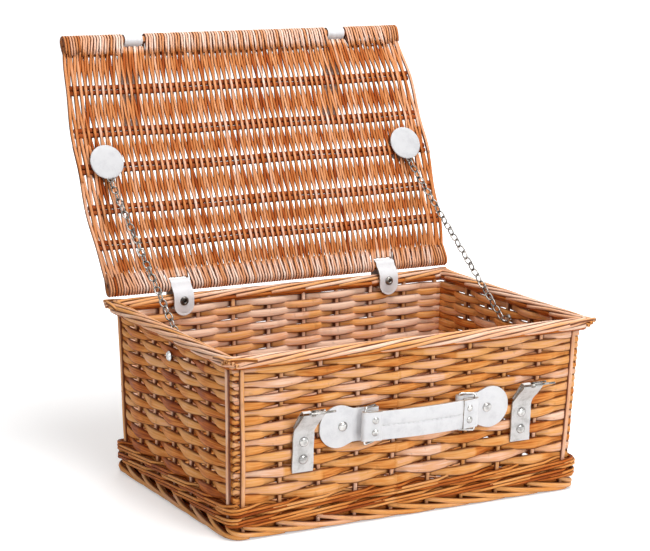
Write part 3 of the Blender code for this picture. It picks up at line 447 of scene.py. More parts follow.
# Foot border: the stakes' lower ends, each bent down to the right over the next two and cut off.
# The strokes are 6 mm thick and leave dark gaps under the waling, where the stakes show.
STROKE_TOP, STROKE_DROP, STROKE_ROD = 11.6, 8.4, 2.95
STROKE_IN, STROKE_OUT, END_IN = 5.5, 6.2, 1.6
STROKE_SPAN = 2.15
FOOT_CORES = ((-8.6, 3.2, 2.9), (-9.4, 8.6, 2.4), (-4.6, 2.7, 2.4))
foot_track = Track(WALL_MID, 9.0)
foot_runs = []
for stroke in range(foot_track.count):
    share = np.linspace(0, 1, 20)
    first = stroke + 0.1 * rng.random()
    number = first - share * (STROKE_SPAN + 0.12 * rng.random())
    fall = np.sin(np.clip(share * 1.15, 0, 1) * math.pi / 2)
    z = STROKE_TOP - STROKE_DROP * fall + 0.3 * np.sin(share * 5 + stroke)
    out = -STROKE_IN + STROKE_OUT * np.sin(np.clip(share * 2.2, 0, 1) * math.pi / 2) - END_IN * share ** 3
    size = STROKE_ROD * (1 - 0.22 * share) * (1 + 0.05 * np.sin(stroke * 2.3))
    place = foot_track.at(number, z, out)
    foot_runs.append(rod(place, up, size, size * 0.95, tone=0.45 + 0.3 * rng.random(), sides=10))
ring_numbers = np.arange(foot_track.count * 5) / 5
for out, z, size in FOOT_CORES:
    place = foot_track.at(ring_numbers, z, out)
    foot_runs.append(rod(place, up, size, size, loop=True, tone=0.25, sides=8))
rod_piece("foot_border", foot_runs, willow, "basket", ["foot_front", "foot_back", "foot_left", "foot_right"])

# Base: rods woven over and under ten pairs of sticks, which lie from front to back under the basket.
# Forty rows about 6 mm apart fill the foot border's inside.
BASE_IN, STICK_IN, STICK_APART, STICK_Z = 12.5, 14, 2.5, 6.4
BASE_STICKS, BASE_ROWS = 10, 40
BASE_Z, BASE_SWING, ROW_IN = 6.6, 2.5, 3.1
BASE_STICK_WIDE, BASE_STICK_DEEP, BASE_ROD_WIDE, BASE_ROD_DEEP = 2.4, 1.7, 3.15, 1.1
base_runs = []
half_w, half_d = half_x(FOOT_TOP) - BASE_IN, half_y(FOOT_TOP) - BASE_IN
sticks = np.linspace(-half_w + STICK_IN, half_w - STICK_IN, BASE_STICKS)
span = sticks[1] - sticks[0]
for x in sticks:
    y = np.linspace(-half_d, half_d, 5)
    for shift in (-STICK_APART, STICK_APART):
        place = np.stack([x + shift + 0 * y, y + CENTRE_Y, STICK_Z + 0 * y], 1) * mm
        tone = 0.4 + 0.2 * rng.random()
        base_runs.append(rod(place, (1, 0, 0), BASE_STICK_WIDE, BASE_STICK_DEEP, tone=tone, sides=8))
for row in range(BASE_ROWS):
    y = -half_d + ROW_IN + (2 * half_d - 2 * ROW_IN) * row / (BASE_ROWS - 1)
    x = np.linspace(-half_w, half_w, 71)
    front = np.cos(math.pi * ((x - sticks[0]) / span + row))
    place = np.stack([x, y + CENTRE_Y + 0.3 * np.sin(x / 40 + row), BASE_Z + BASE_SWING * front], 1) * mm
    tone = 0.35 + 0.4 * rng.random()
    base_runs.append(rod(place, (0, 1, 0), BASE_ROD_WIDE + 0.2 * front, BASE_ROD_DEEP, tone=tone, sides=6))
rod_piece("woven_base", base_runs, willow, "basket", ["base_panel"])

# Rim: each stake's upper end is laid along the top over the next five and rolled in under the others.
# Seen from outside, the ends climb to the right and are cut off on the inner side.
# Cut ends lie crosswise over one another at the corners.
RIM_X, RIM_Y, RIM_MID = 200, 138, 7
RIM_ACROSS, RIM_TALL, RIM_Z = 5.15, 4.2, 168
RIM_ROD, RIM_SPAN = 1.95, 6.0
CUT_ENDS, CUT_APART, CUT_DROP, CUT_ALONG_Y, CUT_ACROSS_X = 3, 3.6, 1.9, 136.4, 198.2
CUT_REACH, CUT_Z, CUT_LIFT = (30.0, 18.0, 8.0), 170.6, (-1.6, 0.2, 0.8, 0.9)
CUT_WIDE, CUT_DEEP = 1.9, 1.8
RIM_CORES = ((-11.2, 166.2, 2.5), (-7.0, 168.0, 3.6), (-9.2, 163.9, 2.2), (-4.8, 164.2, 2.2))
rim_track = Track(RIM_MID, 5.0, (RIM_X - RIM_MID, RIM_Y - RIM_MID))
rim_runs = []
for stake in range(rim_track.count):
    share = np.linspace(0, 1, 46)
    number = stake + 0.05 * rng.random() - share * RIM_SPAN
    roll = math.radians(-75) + share * math.radians(265) + 0.05 * np.sin(share * 20 + stake)
    grow = np.clip(share * 6, 0, 1)
    size = (RIM_ROD + 0.15 * np.sin(share * 9 + stake * 1.7)) * (0.55 + 0.45 * grow)
    out = -RIM_MID + (RIM_ACROSS + 0.25 * np.sin(share * 13 + stake)) * np.cos(roll) - 1.2 * (1 - grow)
    z = RIM_Z + RIM_TALL * np.sin(roll)
    place = rim_track.at(number, z, out)
    round_rim = rim_track.at(number, z + 0.1 * np.cos(roll), out - 0.1 * np.sin(roll)) - place
    tone = 0.6 + 0.42 * rng.random() + 0.08 * np.sin(share * 11 + stake)
    rim_runs.append(rod(place, round_rim, size, size, tone=tone, sides=12))
for out, z, size in RIM_CORES:
    rim_runs.append(rod(rim_track.at(ring_numbers, z, out), up, size, size, loop=True, tone=0.2, sides=8))
for sx, sy in ((-1, -1), (1, -1), (-1, 1), (1, 1)):
    for step in range(CUT_ENDS):
        inset = CUT_APART * step
        reach = np.array([*CUT_REACH, -0.2 - 0.7 * step])
        lift = CUT_Z - CUT_DROP * step + np.array(CUT_LIFT)
        along_y = sy * (CUT_ALONG_Y - inset) + CENTRE_Y + 0 * reach
        along = np.stack([sx * (RIM_X - reach), along_y, lift + 0.8], 1)
        across_x = sx * (CUT_ACROSS_X - inset) + 0 * reach
        cross = np.stack([across_x, sy * (RIM_Y - reach) + CENTRE_Y, lift], 1)
        for path, wide in ((along, (0, 1, 0)), (cross, (1, 0, 0))):
            tone = 0.35 + 0.5 * rng.random()
            rim_runs.append(rod(path * mm, wide, CUT_WIDE, CUT_DEEP, tone=tone, sides=12))
rod_piece("rolled_rim", rim_runs, willow, "basket", ["rim_front", "rim_back", "rim_left", "rim_right"])

# Lid: fine rods in a plain weave over five pairs of red-brown sticks, held by a thick stick at each end.
# Every rod turns round the end sticks, except where the straps go round them.
LID_PAIRS = (46, 83, 126, 164, 209)
LID_LONG, LID_HALF, LID_BOW = 262, 196, 9.5
LID_LEAN = math.radians(26)
HINGE_AT = np.array((0, 92.231, 183.0))
ALONG_LID = np.array((0, math.sin(LID_LEAN), math.cos(LID_LEAN)))
OUT_OF_LID = np.array((0, math.cos(LID_LEAN), -math.sin(LID_LEAN)))
STRAP_X, STRAP_ROOM, BARE_END = 119.5, 12.4, 7.6
RODS_ACROSS, WEAVE_HALF, SIDE_WIDE = 118, 178.0, 17.5
OVER_END, OVER_PAIR = 5.2, 3.05
WRAP_RADIUS, WRAP_LONG = 5.5, 15
SIDE_WRAP_FROM, SIDE_WRAP_TO, SIDE_WRAPS, WRAP_ROD, WRAP_DEEP = 180.5, 195.5, 6, 1.45, 1.25
LID_ROD, LID_ROD_DEEP = 1.35, 1.2


def lid_half(u):
    """Half the lid's width at a distance from the hinge: its sides bow outwards."""
    return LID_HALF + LID_BOW * (1 - np.abs(2 * np.asarray(u, float) / LID_LONG - 1) ** 3)


def on_lid(x, u, w):
    """World points in metres on the open lid: x across, u from the hinge and w out of its outer face."""
    x, u, w = np.broadcast_arrays(np.asarray(x, float), u, w)
    return (x[..., None] * np.array((1, 0, 0)) + HINGE_AT + u[..., None] * ALONG_LID
            + w[..., None] * OUT_OF_LID) * mm


lid_willow = willow_finish("lid_willow", {0.0: "7A2C0C", 0.22: "AE5620", 0.45: "D0854C", 0.68: "E3A47A",
                                          0.86: "EEBDA2", 1.0: "F8DCCA"}, "5A220C", "571C02", 0.95)
red_willow = willow_finish("red_willow", {0.0: "74290D", 0.5: "A14C22", 1.0: "CB7844"},
                           "4E1A08", "3E1104", 0.7)
lid_runs = []
crossings = (0,) + LID_PAIRS + (LID_LONG,)
half_turn = np.linspace(0, math.pi, 8)
for number in range(RODS_ACROSS):
    side = 1 if number % 2 else -1
    apart = 2 * WEAVE_HALF / (RODS_ACROSS - 1)
    x0 = (number - (RODS_ACROSS - 1) / 2) * apart + 0.35 * (rng.random() - 0.5)
    bare = abs(abs(x0) - STRAP_X) < STRAP_ROOM
    u, w = [], []
    for pair in range(len(crossings) - 1):
        low, high = crossings[pair], crossings[pair + 1]
        share = np.arange(10) / 10
        first = OVER_END if pair == 0 else OVER_PAIR
        last = OVER_END if pair == len(crossings) - 2 else OVER_PAIR
        bend = np.cos(math.pi * share)
        u.append(low + (high - low) * share)
        w.append(side * (-1) ** pair * (first + (last - first) * share) * bend * np.abs(bend) ** 1.1)
    u, w = np.concatenate(u), np.concatenate(w)
    keep = (u > (9 if bare else 8)) & (u < LID_LONG - 8)
    u, w = u[keep], w[keep]
    if bare:
        u, w = np.concatenate([[BARE_END], u, [LID_LONG - BARE_END]]), np.concatenate([w[:1], w, w[-1:]])
        w = w * np.clip((np.minimum(u, LID_LONG - u) - 4) / 28, 0.25, 1)
    else:
        tail = np.array([17.5 - 3 * rng.random(), 9.0])
        top = side * (-1) ** (len(crossings) - 1)
        beyond, turned = WRAP_RADIUS * np.sin(half_turn), WRAP_RADIUS * np.cos(half_turn)
        u = np.concatenate([tail, -beyond, u, LID_LONG + beyond, LID_LONG - tail[::-1]])
        w = np.concatenate([-side * np.array([3.2, 4.9]), -side * turned, w, top * turned,
                            -top * np.array([4.9, 3.2])])
    fan = (lid_half(np.clip(u, 0, LID_LONG)) - SIDE_WIDE) / (LID_HALF - SIDE_WIDE)
    x = x0 * fan + 0.3 * np.sin(u / 31 + number)
    edge = np.minimum(u, LID_LONG - u)
    near = np.min(np.abs(u[:, None] - np.array(LID_PAIRS)[None]), axis=1)
    far = np.clip((near - 7) / 7, 0, 1)
    if not bare:
        far = far * np.clip((edge - WRAP_LONG) / 10, 0, 1)
    crest = np.clip(1.3 - near / 6, 0, 1)
    wrapped = edge < WRAP_LONG
    thick = (LID_ROD + 0.35 * far + 0.65 * crest + 0.13 * wrapped) * (1 + 0.1 * (rng.random() - 0.5))
    # Painted highlight: rods are paler within 13 mm of a stick pair, where they crest over it.
    tone = 0.2 + 0.45 * rng.random() + 0.26 * np.clip(1 - near / 13, 0, 1) + 0.1 * np.sin(u / 40 + number)
    tone = tone + 0.42 * wrapped
    # Painted shade on the lid rods' crevice side where they crest round a stick pair.
    sink = np.where(wrapped, 0, np.clip(-w / 3, -0.6, 0.6)) * crest
    lid_runs.append(rod(on_lid(x, u, w), (1, 0, 0), thick, LID_ROD_DEEP, tone=tone, sides=8, sink=sink))
side_wraps = np.linspace(SIDE_WRAP_FROM, SIDE_WRAP_TO, SIDE_WRAPS)
for end in (0, 1):
    for x in (*-side_wraps, *side_wraps):
        leg = np.array([17.0 - 5 * rng.random(), 9.0, 4.0])
        u = np.concatenate([leg, -WRAP_RADIUS * np.sin(half_turn), leg[::-1]])
        w = np.concatenate([[-3.0, -4.6, -5.4], -WRAP_RADIUS * np.cos(half_turn), [5.4, 4.6, 3.0]])
        place = on_lid(x + 0 * u, LID_LONG - u if end else u, w)
        tone = 0.3 + 0.45 * rng.random()
        lid_runs.append(rod(place, (1, 0, 0), WRAP_ROD, WRAP_DEEP, tone=tone, sides=6))
rod_piece("woven_lid", lid_runs, lid_willow, "lid", ["lid_panel", "lid_back_border", "lid_front_border"])

# Lid sticks: five pairs of red-brown sticks across the weave, and one thick stick at each end.
# The rods are woven over them, and the straps and the wraps go round the end ones.
PAIR_GAP, PAIR_ROD, PAIR_DEEP = 2.7, 2.65, 2.0
END_HALF, END_ROD = 195.5, 4
stick_runs = []
for u0 in LID_PAIRS:
    for shift in (-PAIR_GAP, PAIR_GAP):
        reach = lid_half(u0) - 4
        x = np.linspace(-reach, reach, 15)
        place = on_lid(x, u0 + shift + 0.5 * np.sin(x / 30 + u0), 0 * x)
        size = 1 + 0.07 * np.sin(x / 17 + u0)
        tone = 0.3 + 0.3 * rng.random()
        stick_runs.append(rod(place, ALONG_LID, PAIR_ROD * size, PAIR_DEEP, tone=tone, sides=10))
rod_piece("lid_sticks", stick_runs, red_willow, "lid")
end_runs = []
for u0 in (0, LID_LONG):
    x = np.linspace(-END_HALF, END_HALF, 9)
    end_runs.append(rod(on_lid(x, u0, 0 * x), ALONG_LID, END_ROD, END_ROD, tone=0.45, sides=16))
rod_piece("lid_end_sticks", end_runs, lid_willow, "lid")

# Lid sides: five long thin rods side by side that follow the bow, lapped with cut ends.
# They pass over and under the ends of the cross-sticks by turns.
SIDE_RODS, SIDE_IN, SIDE_APART = 5, 1.9, 3.75
SIDE_SWING, SIDE_ROD, SIDE_DEEP = 1.9, 1.85, 1.8
SIDE_LENGTHS = ((2, 150, 0.0), (112, 260, 0.9))
side_runs = []
for side in (-1, 1):
    for place in range(SIDE_RODS):
        for first, last, shift in SIDE_LENGTHS:
            first += 9 * rng.random()
            last += 12 * rng.random() - 6
            u = np.linspace(first, min(last, LID_LONG - 3), 26)
            inset = SIDE_IN + SIDE_APART * place + 0.5 * np.sin(u / 30 + place)
            w = SIDE_SWING * np.cos((u / 41 + place) * math.pi) + (shift if place % 2 else -shift)
            x = side * (lid_half(u) - inset)
            tone = 0.35 + 0.4 * rng.random()
            side_runs.append(rod(on_lid(x, u, w), (1, 0, 0), SIDE_ROD, SIDE_DEEP, tone=tone, sides=10))
rod_piece("lid_side_rods", side_runs, lid_willow, "lid", ["lid_side_left", "lid_side_right"])

# Hinge straps: white leatherette bands, riveted round the rim and round the lid's rear stick.
# Each is 22 mm wide and 1.8 mm thick, with a rounded flap inside and a line pressed along its edges.
SIDES = (("left", -1), ("right", 1))
LEATHER, LOOP_RADIUS = 1.8, 5.2
HINGE_HALF, FLAP_Y, FLAP_Z = 11, 79.2, 164.5
FLAP_RISE = [(79.2, 169), (79.3, 172.5), (80.4, 176), (83.2, 179.6)]


def strip(name, path, across, halves, columns=(-1, 1)):
    """A band's surface: an edge drawn out step by step along path. halves are half widths, all in mm."""
    path = [Vector(tuple(map(float, point))) * mm for point in path]
    across = Vector(tuple(map(float, across))).normalized()
    bpy.ops.object.select_all(action="DESELECT")
    bpy.ops.mesh.primitive_plane_add(size=mm)
    band = bpy.context.object
    band.name = name
    bpy.ops.object.mode_set(mode="EDIT")
    bpy.ops.mesh.merge(type="CENTER")
    bpy.ops.transform.translate(value=path[0] + across * columns[0] * halves[0] * mm)
    for low, high in zip(columns, columns[1:]):
        step = across * (high - low) * halves[0] * mm
        bpy.ops.mesh.extrude_vertices_move(TRANSFORM_OT_translate={"value": step})
    bpy.ops.mesh.select_all(action="SELECT")
    for place, target, half, wider in zip(path, path[1:], halves, halves[1:]):
        bpy.ops.mesh.extrude_region_move(TRANSFORM_OT_translate={"value": target - place})
        if wider != half:
            bpy.ops.transform.resize(value=(wider / half,) * 3, center_override=target)
    bpy.ops.object.mode_set(mode="OBJECT")
    return band


def fix(piece, kind, name, **settings):
    """Adds one modifier and applies it."""
    bpy.context.view_layer.objects.active = piece
    added = piece.modifiers.new(name, kind)
    for key, value in settings.items():
        setattr(added, key, value)
    bpy.ops.object.modifier_apply(modifier=added.name)


def band_of_leather(band, finish, body, outward, groove=1.9, thick=LEATHER, node=None):
    """Gives a band its pressed line, groove mm from the edge, its thickness and its rounded edges."""
    bpy.ops.object.select_all(action="DESELECT")
    band.select_set(True)
    bpy.context.view_layer.objects.active = band
    bpy.ops.object.mode_set(mode="EDIT")
    bpy.ops.mesh.select_all(action="SELECT")
    outward = Vector(tuple(map(float, outward)))
    if band.data.polygons[0].normal.dot(outward) < 0:
        bpy.ops.mesh.flip_normals()
    if groove:
        bpy.ops.mesh.inset(thickness=groove * mm, depth=0)
        bpy.ops.mesh.inset(thickness=0.3 * mm, depth=-0.28 * mm)
        bpy.ops.mesh.inset(thickness=0.3 * mm, depth=0.28 * mm)
    bpy.ops.object.mode_set(mode="OBJECT")
    band.data.materials.append(finish)
    band.data.materials.append(cut_edge)
    fix(band, "SOLIDIFY", "hide", thickness=thick * mm, offset=0, material_offset_rim=1)
    fix(band, "BEVEL", "edges", width=0.3 * mm, segments=3, limit_method="ANGLE",
        angle_limit=math.radians(50))
    for face in band.data.polygons:
        face.use_smooth = True
    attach(band, body)
    if node:
        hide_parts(node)


def leather_finish(name, dull, bright, fold=0.25, folds=95.0):
    """White leatherette: a fine pored skin with a faint sheen, greyer in cloudy patches where it is creased
    and handled.
    """
    made, start, shader = new_finish(name)
    place = start.node("TexCoord", out=3)
    pores = start.node("TexVoronoi", {"feature": "DISTANCE_TO_EDGE"}, {"Vector": place, "Scale": 1300.0})
    cloudy = start.node("TexNoise", {}, {"Vector": place, "Scale": folds, "Detail": 4.0})
    creased = start.node("TexNoise", {}, {"Vector": place, "Scale": folds * 3, "Detail": 3.0,
                                          "Distortion": 1.5})
    tint = (cloudy * 0.7 + creased * 0.3).above(0.28, 0.56)
    connect(tint.mix(colour(dull), colour(bright)), shader.inputs["Base Color"])
    connect(cloudy * 0.25 + 0.3, shader.inputs["Roughness"])
    lumps = start.node("Bump", {}, {"Strength": fold, "Distance": 0.0006,
                                    "Height": pores.above(0.0, 0.12) * 0.2 + creased + cloudy})
    connect(lumps, shader.inputs["Normal"])
    shader.inputs["Specular IOR Level"].default_value = 0.35
    return made


def steel_finish(name, dark, bright, rough):
    """Nickelled steel: bright, with fine wear and cloudy patches."""
    made, start, shader = new_finish(name)
    place = start.node("TexCoord", out=3)
    wear = start.node("TexNoise", {}, {"Vector": place, "Scale": 150.0, "Detail": 4.0})
    connect(wear.above(0.3, 0.7).mix(colour(dark), colour(bright)), shader.inputs["Base Color"])
    connect(wear * 0.2 + rough, shader.inputs["Roughness"])
    dents = start.node("Bump", {}, {"Strength": 0.06, "Distance": 0.0003, "Height": wear})
    connect(dents, shader.inputs["Normal"])
    shader.inputs["Metallic"].default_value = 1.0
    return made


def arc_path(centre, radius, start, end, steps):
    """Points on an arc, from start to end in degrees, as pairs."""
    angles = np.radians(np.linspace(start, end, steps))
    return [(centre[0] + radius * math.cos(a), centre[1] + radius * math.sin(a)) for a in angles]


leather = leather_finish("white_leatherette", "D3D3D6", "E0E0E2")
cut_edge = leather_finish("cut_edge", "77695C", "A79A8D", 0.5, 300.0)
steel = steel_finish("bright_steel", "8E8C8A", "D4D3D1", 0.06)
tip_turns = [math.radians(a) for a in (-86, -74, -60, -45, -30, -15, 0)]
rear = HINGE_AT[1] + LOOP_RADIUS
for side, sign in SIDES:
    path = [(FLAP_Y, FLAP_Z + HINGE_HALF * math.sin(a)) for a in tip_turns] + FLAP_RISE
    path += arc_path(HINGE_AT[1:], LOOP_RADIUS, 172, 0, 12) + [(rear, 178), (rear, 166)]
    path += arc_path((rear - 3, 163.8), 3, 0, -90, 5) + [(86, 160.8)]
    path += arc_path((84.2, 162.6), 1.8, -90, -180, 4)
    halves = [HINGE_HALF * math.cos(a) for a in tip_turns]
    halves += [HINGE_HALF] * (len(path) - len(halves))
    strap = strip("hinge_strap_band_" + side, [(sign * STRAP_X, y, z) for y, z in path], (1, 0, 0), halves)
    band_of_leather(strap, leather, "basket", (0, -1, 0), node="hinge_strap_" + side)


# Rivets: nickelled steel, driven through the leather and the weave.
# The hinge straps' are dark tubes turned over at their mouths, and the others have bright domed heads.
HINGE_RIVET_Y, HINGE_RIVET_Z = 78.33, 168.5
RIVET_TUBE = [(1.2, -0.6), (1.2, 1.3), (1.9, 2.0), (3.1, 1.9), (4.3, 1.0), (4.7, 0.0), (4.0, -0.6),
              (1.2, -0.6)]
RIVET_CORE = [(0, -0.5), (1.3, -0.5), (1.3, 0.35), (0, 0.2)]
DOME_RADIUS, DOME_RISE = 4.75, 2.6
RIVET_HEIGHTS = (("lower", 59.0), ("upper", 75.8))
HANDLE_T, PATCH_RIVET_X, ON_LEATHER = 85.5, 79, 2.1
WALL_LEAN = math.atan2(TAPER, RIM_LOW - FOOT_TOP)


def turned_piece(name, profile, centre, normal, finish, body, node=None, steps=28):
    """A closed profile of (radius, height) in mm, spun round normal through centre."""
    bpy.ops.object.select_all(action="DESELECT")
    bpy.ops.mesh.primitive_plane_add(size=mm)
    piece = bpy.context.object
    piece.name = name
    bpy.ops.object.mode_set(mode="EDIT")
    bpy.ops.mesh.merge(type="CENTER")
    bpy.ops.transform.translate(value=(profile[0][0] * mm, 0, profile[0][1] * mm))
    for (r0, h0), (r1, h1) in zip(profile, profile[1:]):
        step = ((r1 - r0) * mm, 0, (h1 - h0) * mm)
        bpy.ops.mesh.extrude_vertices_move(TRANSFORM_OT_translate={"value": step})
    bpy.ops.mesh.select_all(action="SELECT")
    bpy.ops.mesh.spin(steps=steps, angle=2 * math.pi, center=(0, 0, 0), axis=(0, 0, 1), use_auto_merge=True)
    bpy.ops.mesh.select_all(action="SELECT")
    bpy.ops.mesh.remove_doubles(threshold=0.00002)
    bpy.ops.mesh.normals_make_consistent(inside=False)
    bpy.ops.object.mode_set(mode="OBJECT")
    turn = Vector(tuple(map(float, normal))).to_track_quat("Z", "Y").to_matrix().to_4x4()
    piece.matrix_world = Matrix.Translation(Vector(tuple(map(float, centre))) * mm) @ turn
    bpy.ops.object.transform_apply(location=True, rotation=True, scale=True)
    for face in piece.data.polygons:
        face.use_smooth = True
    piece.data.materials.append(finish)
    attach(piece, body)
    if node:
        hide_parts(node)


def on_front(x, t, n):
    """A point on the front wall in mm: x across, t up the wall and n out of it."""
    return np.array((x, CENTRE_Y - half_y(FOOT_TOP) - math.cos(WALL_LEAN) * n - math.sin(WALL_LEAN) * t,
                     FOOT_TOP - math.sin(WALL_LEAN) * n + math.cos(WALL_LEAN) * t))


FRONT_UP = on_front(0, 1, 0) - on_front(0, 0, 0)
FRONT_OUT = on_front(0, 0, 1) - on_front(0, 0, 0)
old_steel = steel_finish("dark_steel", "3F3B37", "8F8B86", 0.22)
for side, sign in SIDES:
    centre = (sign * STRAP_X, HINGE_RIVET_Y, HINGE_RIVET_Z)
    turned_piece("hinge_rivet_tube_" + side, RIVET_TUBE, centre, (0, -1, 0), old_steel, "basket",
                 "hinge_rivet_" + side)
    turned_piece("hinge_rivet_core_" + side, RIVET_CORE, centre, (0, -1, 0), old_steel, "basket")


def domed(name, radius, rise, centre, normal, body, node):
    """A rivet's head with a rolled edge."""
    shape = [(0, -0.3), (radius - 0.5, -0.3), (radius - 0.1, 0.1)]
    angles = np.linspace(0.12, 1.45, 8)
    shape += [(radius * math.cos(a), 0.25 + (rise - 0.25) * math.sin(a) ** 0.9) for a in angles]
    turned_piece(name, shape + [(0, rise)], centre, normal, steel, body, node)


for side, sign in SIDES:
    for level, t in RIVET_HEIGHTS:
        domed(f"strap_dome_{level}_{side}", DOME_RADIUS, DOME_RISE, on_front(sign * STRAP_X, t, ON_LEATHER),
              FRONT_OUT, "basket", f"strap_rivet_{level}_{side}")
    domed("patch_dome_" + side, DOME_RADIUS, DOME_RISE, on_front(sign * PATCH_RIVET_X, HANDLE_T, ON_LEATHER),
          FRONT_OUT, "basket", "patch_rivet_" + side)

# Front straps: a doubled band of leatherette, folded outwards round the buckle's heel bar.
# Each is 22 mm wide and held by two domed rivets, with a slot for the prong and a creased fold, and its
# leatherette is painted greyer as shade for the fold that faces down.
FRONT_HALF, BAR_N, BAR_T, BAR_LOOP = 11, 16.8, 106.5, 2.3
SLOT_HALF, SLOT_LONG = 2, 2.6
STRAP_LIES = [(1.2, 46.5), (1.2, 52), (1.2, 60), (1.2, 68), (1.2, 76), (1.25, 81)]
STRAP_LIFTS = [(1.5, 84.2), (2.2, 86.8), (3.8, 89.1), (7.0, 92.6), (11.4, 97.2), (15.2, 101.3)]
STRAP_RETURNS = [(11.2, 103.2), (6.6, 97.2), (3.4, 92.9), (1.6, 90.2)]
# Painted shade: the front straps' leatherette is greyer, for the shade on the fold that faces down; its
# deeper creases are real.
fold_shade_leather = leather_finish("fold_shade_leatherette", "BDBAB7", "DEDCDB", 0.6, 110.0)
for side, sign in SIDES:
    path = STRAP_LIES + STRAP_LIFTS + arc_path((BAR_N, BAR_T), BAR_LOOP, -37, 143, 9) + STRAP_RETURNS
    shown = [on_front(sign * STRAP_X, t, n) for n, t in path]
    halves = [FRONT_HALF + 0.25 * math.sin(i * 1.9 + sign) for i in range(len(path))]
    strap = strip("front_strap_" + side, shown, (1, 0, 0), halves, (-1, -0.21, 0.21, 1))
    bar = Vector(tuple(on_front(sign * STRAP_X, BAR_T, BAR_N))) * mm
    bpy.ops.object.select_all(action="DESELECT")
    strap.select_set(True)
    for face in strap.data.polygons:
        near_bar = (face.center - bar).yz.length < SLOT_LONG * mm
        face.select = near_bar and abs(face.center.x - bar.x) < SLOT_HALF * mm
    for part in (*strap.data.vertices, *strap.data.edges):
        part.select = False
    bpy.ops.object.mode_set(mode="EDIT")
    bpy.ops.mesh.select_mode(type="FACE")
    bpy.ops.mesh.delete(type="FACE")
    bpy.ops.mesh.select_mode(type="VERT")
    bpy.ops.object.mode_set(mode="OBJECT")
    band_of_leather(strap, fold_shade_leather, "basket", (0, -1, 0), 0, node="buckle_strap_" + side)

# Handle: a padded leatherette grip with a stitched centre line, on two steel rings.
# Each ring hangs in a round patch riveted to the wall, and in a tab round the grip's end with two rivets.
GRIP_FACE, GRIP_BOW, GRIP_THICK, GRIP_SET = 13.55, 5.2, 3.0, 3.1
GRIP_REACH, GRIP_HALF, TAB_HALF, TAB_LINE = 54, 13.75, 13.9, 1.5
SWELL, SEAM_DEEP, SEAM_SHARE = 0.75, 0.95, 0.09
RING_X, RING_N, PATCH_LOOP_X, PATCH_LOOP_N, TAB_LOOP = 60.05, 10.2, 46, 3.65, 2.45
PATCH_X, PATCH_RADIUS, PATCH_NECK, PATCH_N = 83, 20.5, 16.1, 1.2
GRIP_DOME, GRIP_DOME_RISE, GRIP_DOME_X, GRIP_DOME_UP = 3.3, 1.8, 51.5, 5.8
RING_ROD, RING_CORNER, RING_WIDE, RING_TALL, RING_APART = 1.25, 2.0, 5.75, 15.75, 15.5
STITCHES, STITCH_HALF, STITCH_REACH = 17, 1.7, 41
THREAD_SET, THREAD_BOW, THREAD_WIDE, THREAD_DEEP = 1.35, 0.22, 0.36, 0.3


def grip_face(x):
    """How far the grip's face stands out of the wall at a distance from its middle."""
    return GRIP_FACE + GRIP_BOW * (1 - (x / RING_X) ** 2)


across = np.linspace(-GRIP_REACH, GRIP_REACH, 19)
path = [on_front(x, HANDLE_T, grip_face(x) - GRIP_SET) for x in across]
columns = (-1, -0.72, -0.4, -0.1, 0, 0.1, 0.4, 0.72, 1)
grip = strip("padded_grip", path, FRONT_UP, [GRIP_HALF] * len(path), columns)
grip_middle = Vector(tuple(on_front(0, HANDLE_T, 0)))
for point in grip.data.vertices:
    height = (Vector(point.co) / mm - grip_middle).dot(Vector(tuple(FRONT_UP))) / GRIP_HALF
    swell = SWELL * (1 - height ** 2) - SEAM_DEEP * math.exp(-(height / SEAM_SHARE) ** 2)
    point.co = Vector(point.co) + Vector(tuple(FRONT_OUT)) * swell * mm
band_of_leather(grip, leather, "handle", FRONT_OUT, 0, GRIP_THICK, "handle_grip")
fix(grip, "SUBSURF", "round", levels=1, render_levels=1)
thread_runs = []
for x in np.linspace(-STITCH_REACH, STITCH_REACH, STITCHES):
    steps = np.linspace(-STITCH_HALF, STITCH_HALF, 5)
    faces = [grip_face(x + e) - THREAD_SET + THREAD_BOW * math.cos(e * 0.9) for e in steps]
    places = np.array([on_front(x + e, HANDLE_T, n) for e, n in zip(steps, faces)])
    thread_runs.append(rod(places * mm, FRONT_UP, THREAD_WIDE, THREAD_DEEP, sides=6))
rod_piece("grip_stitches", thread_runs, leather, "handle")
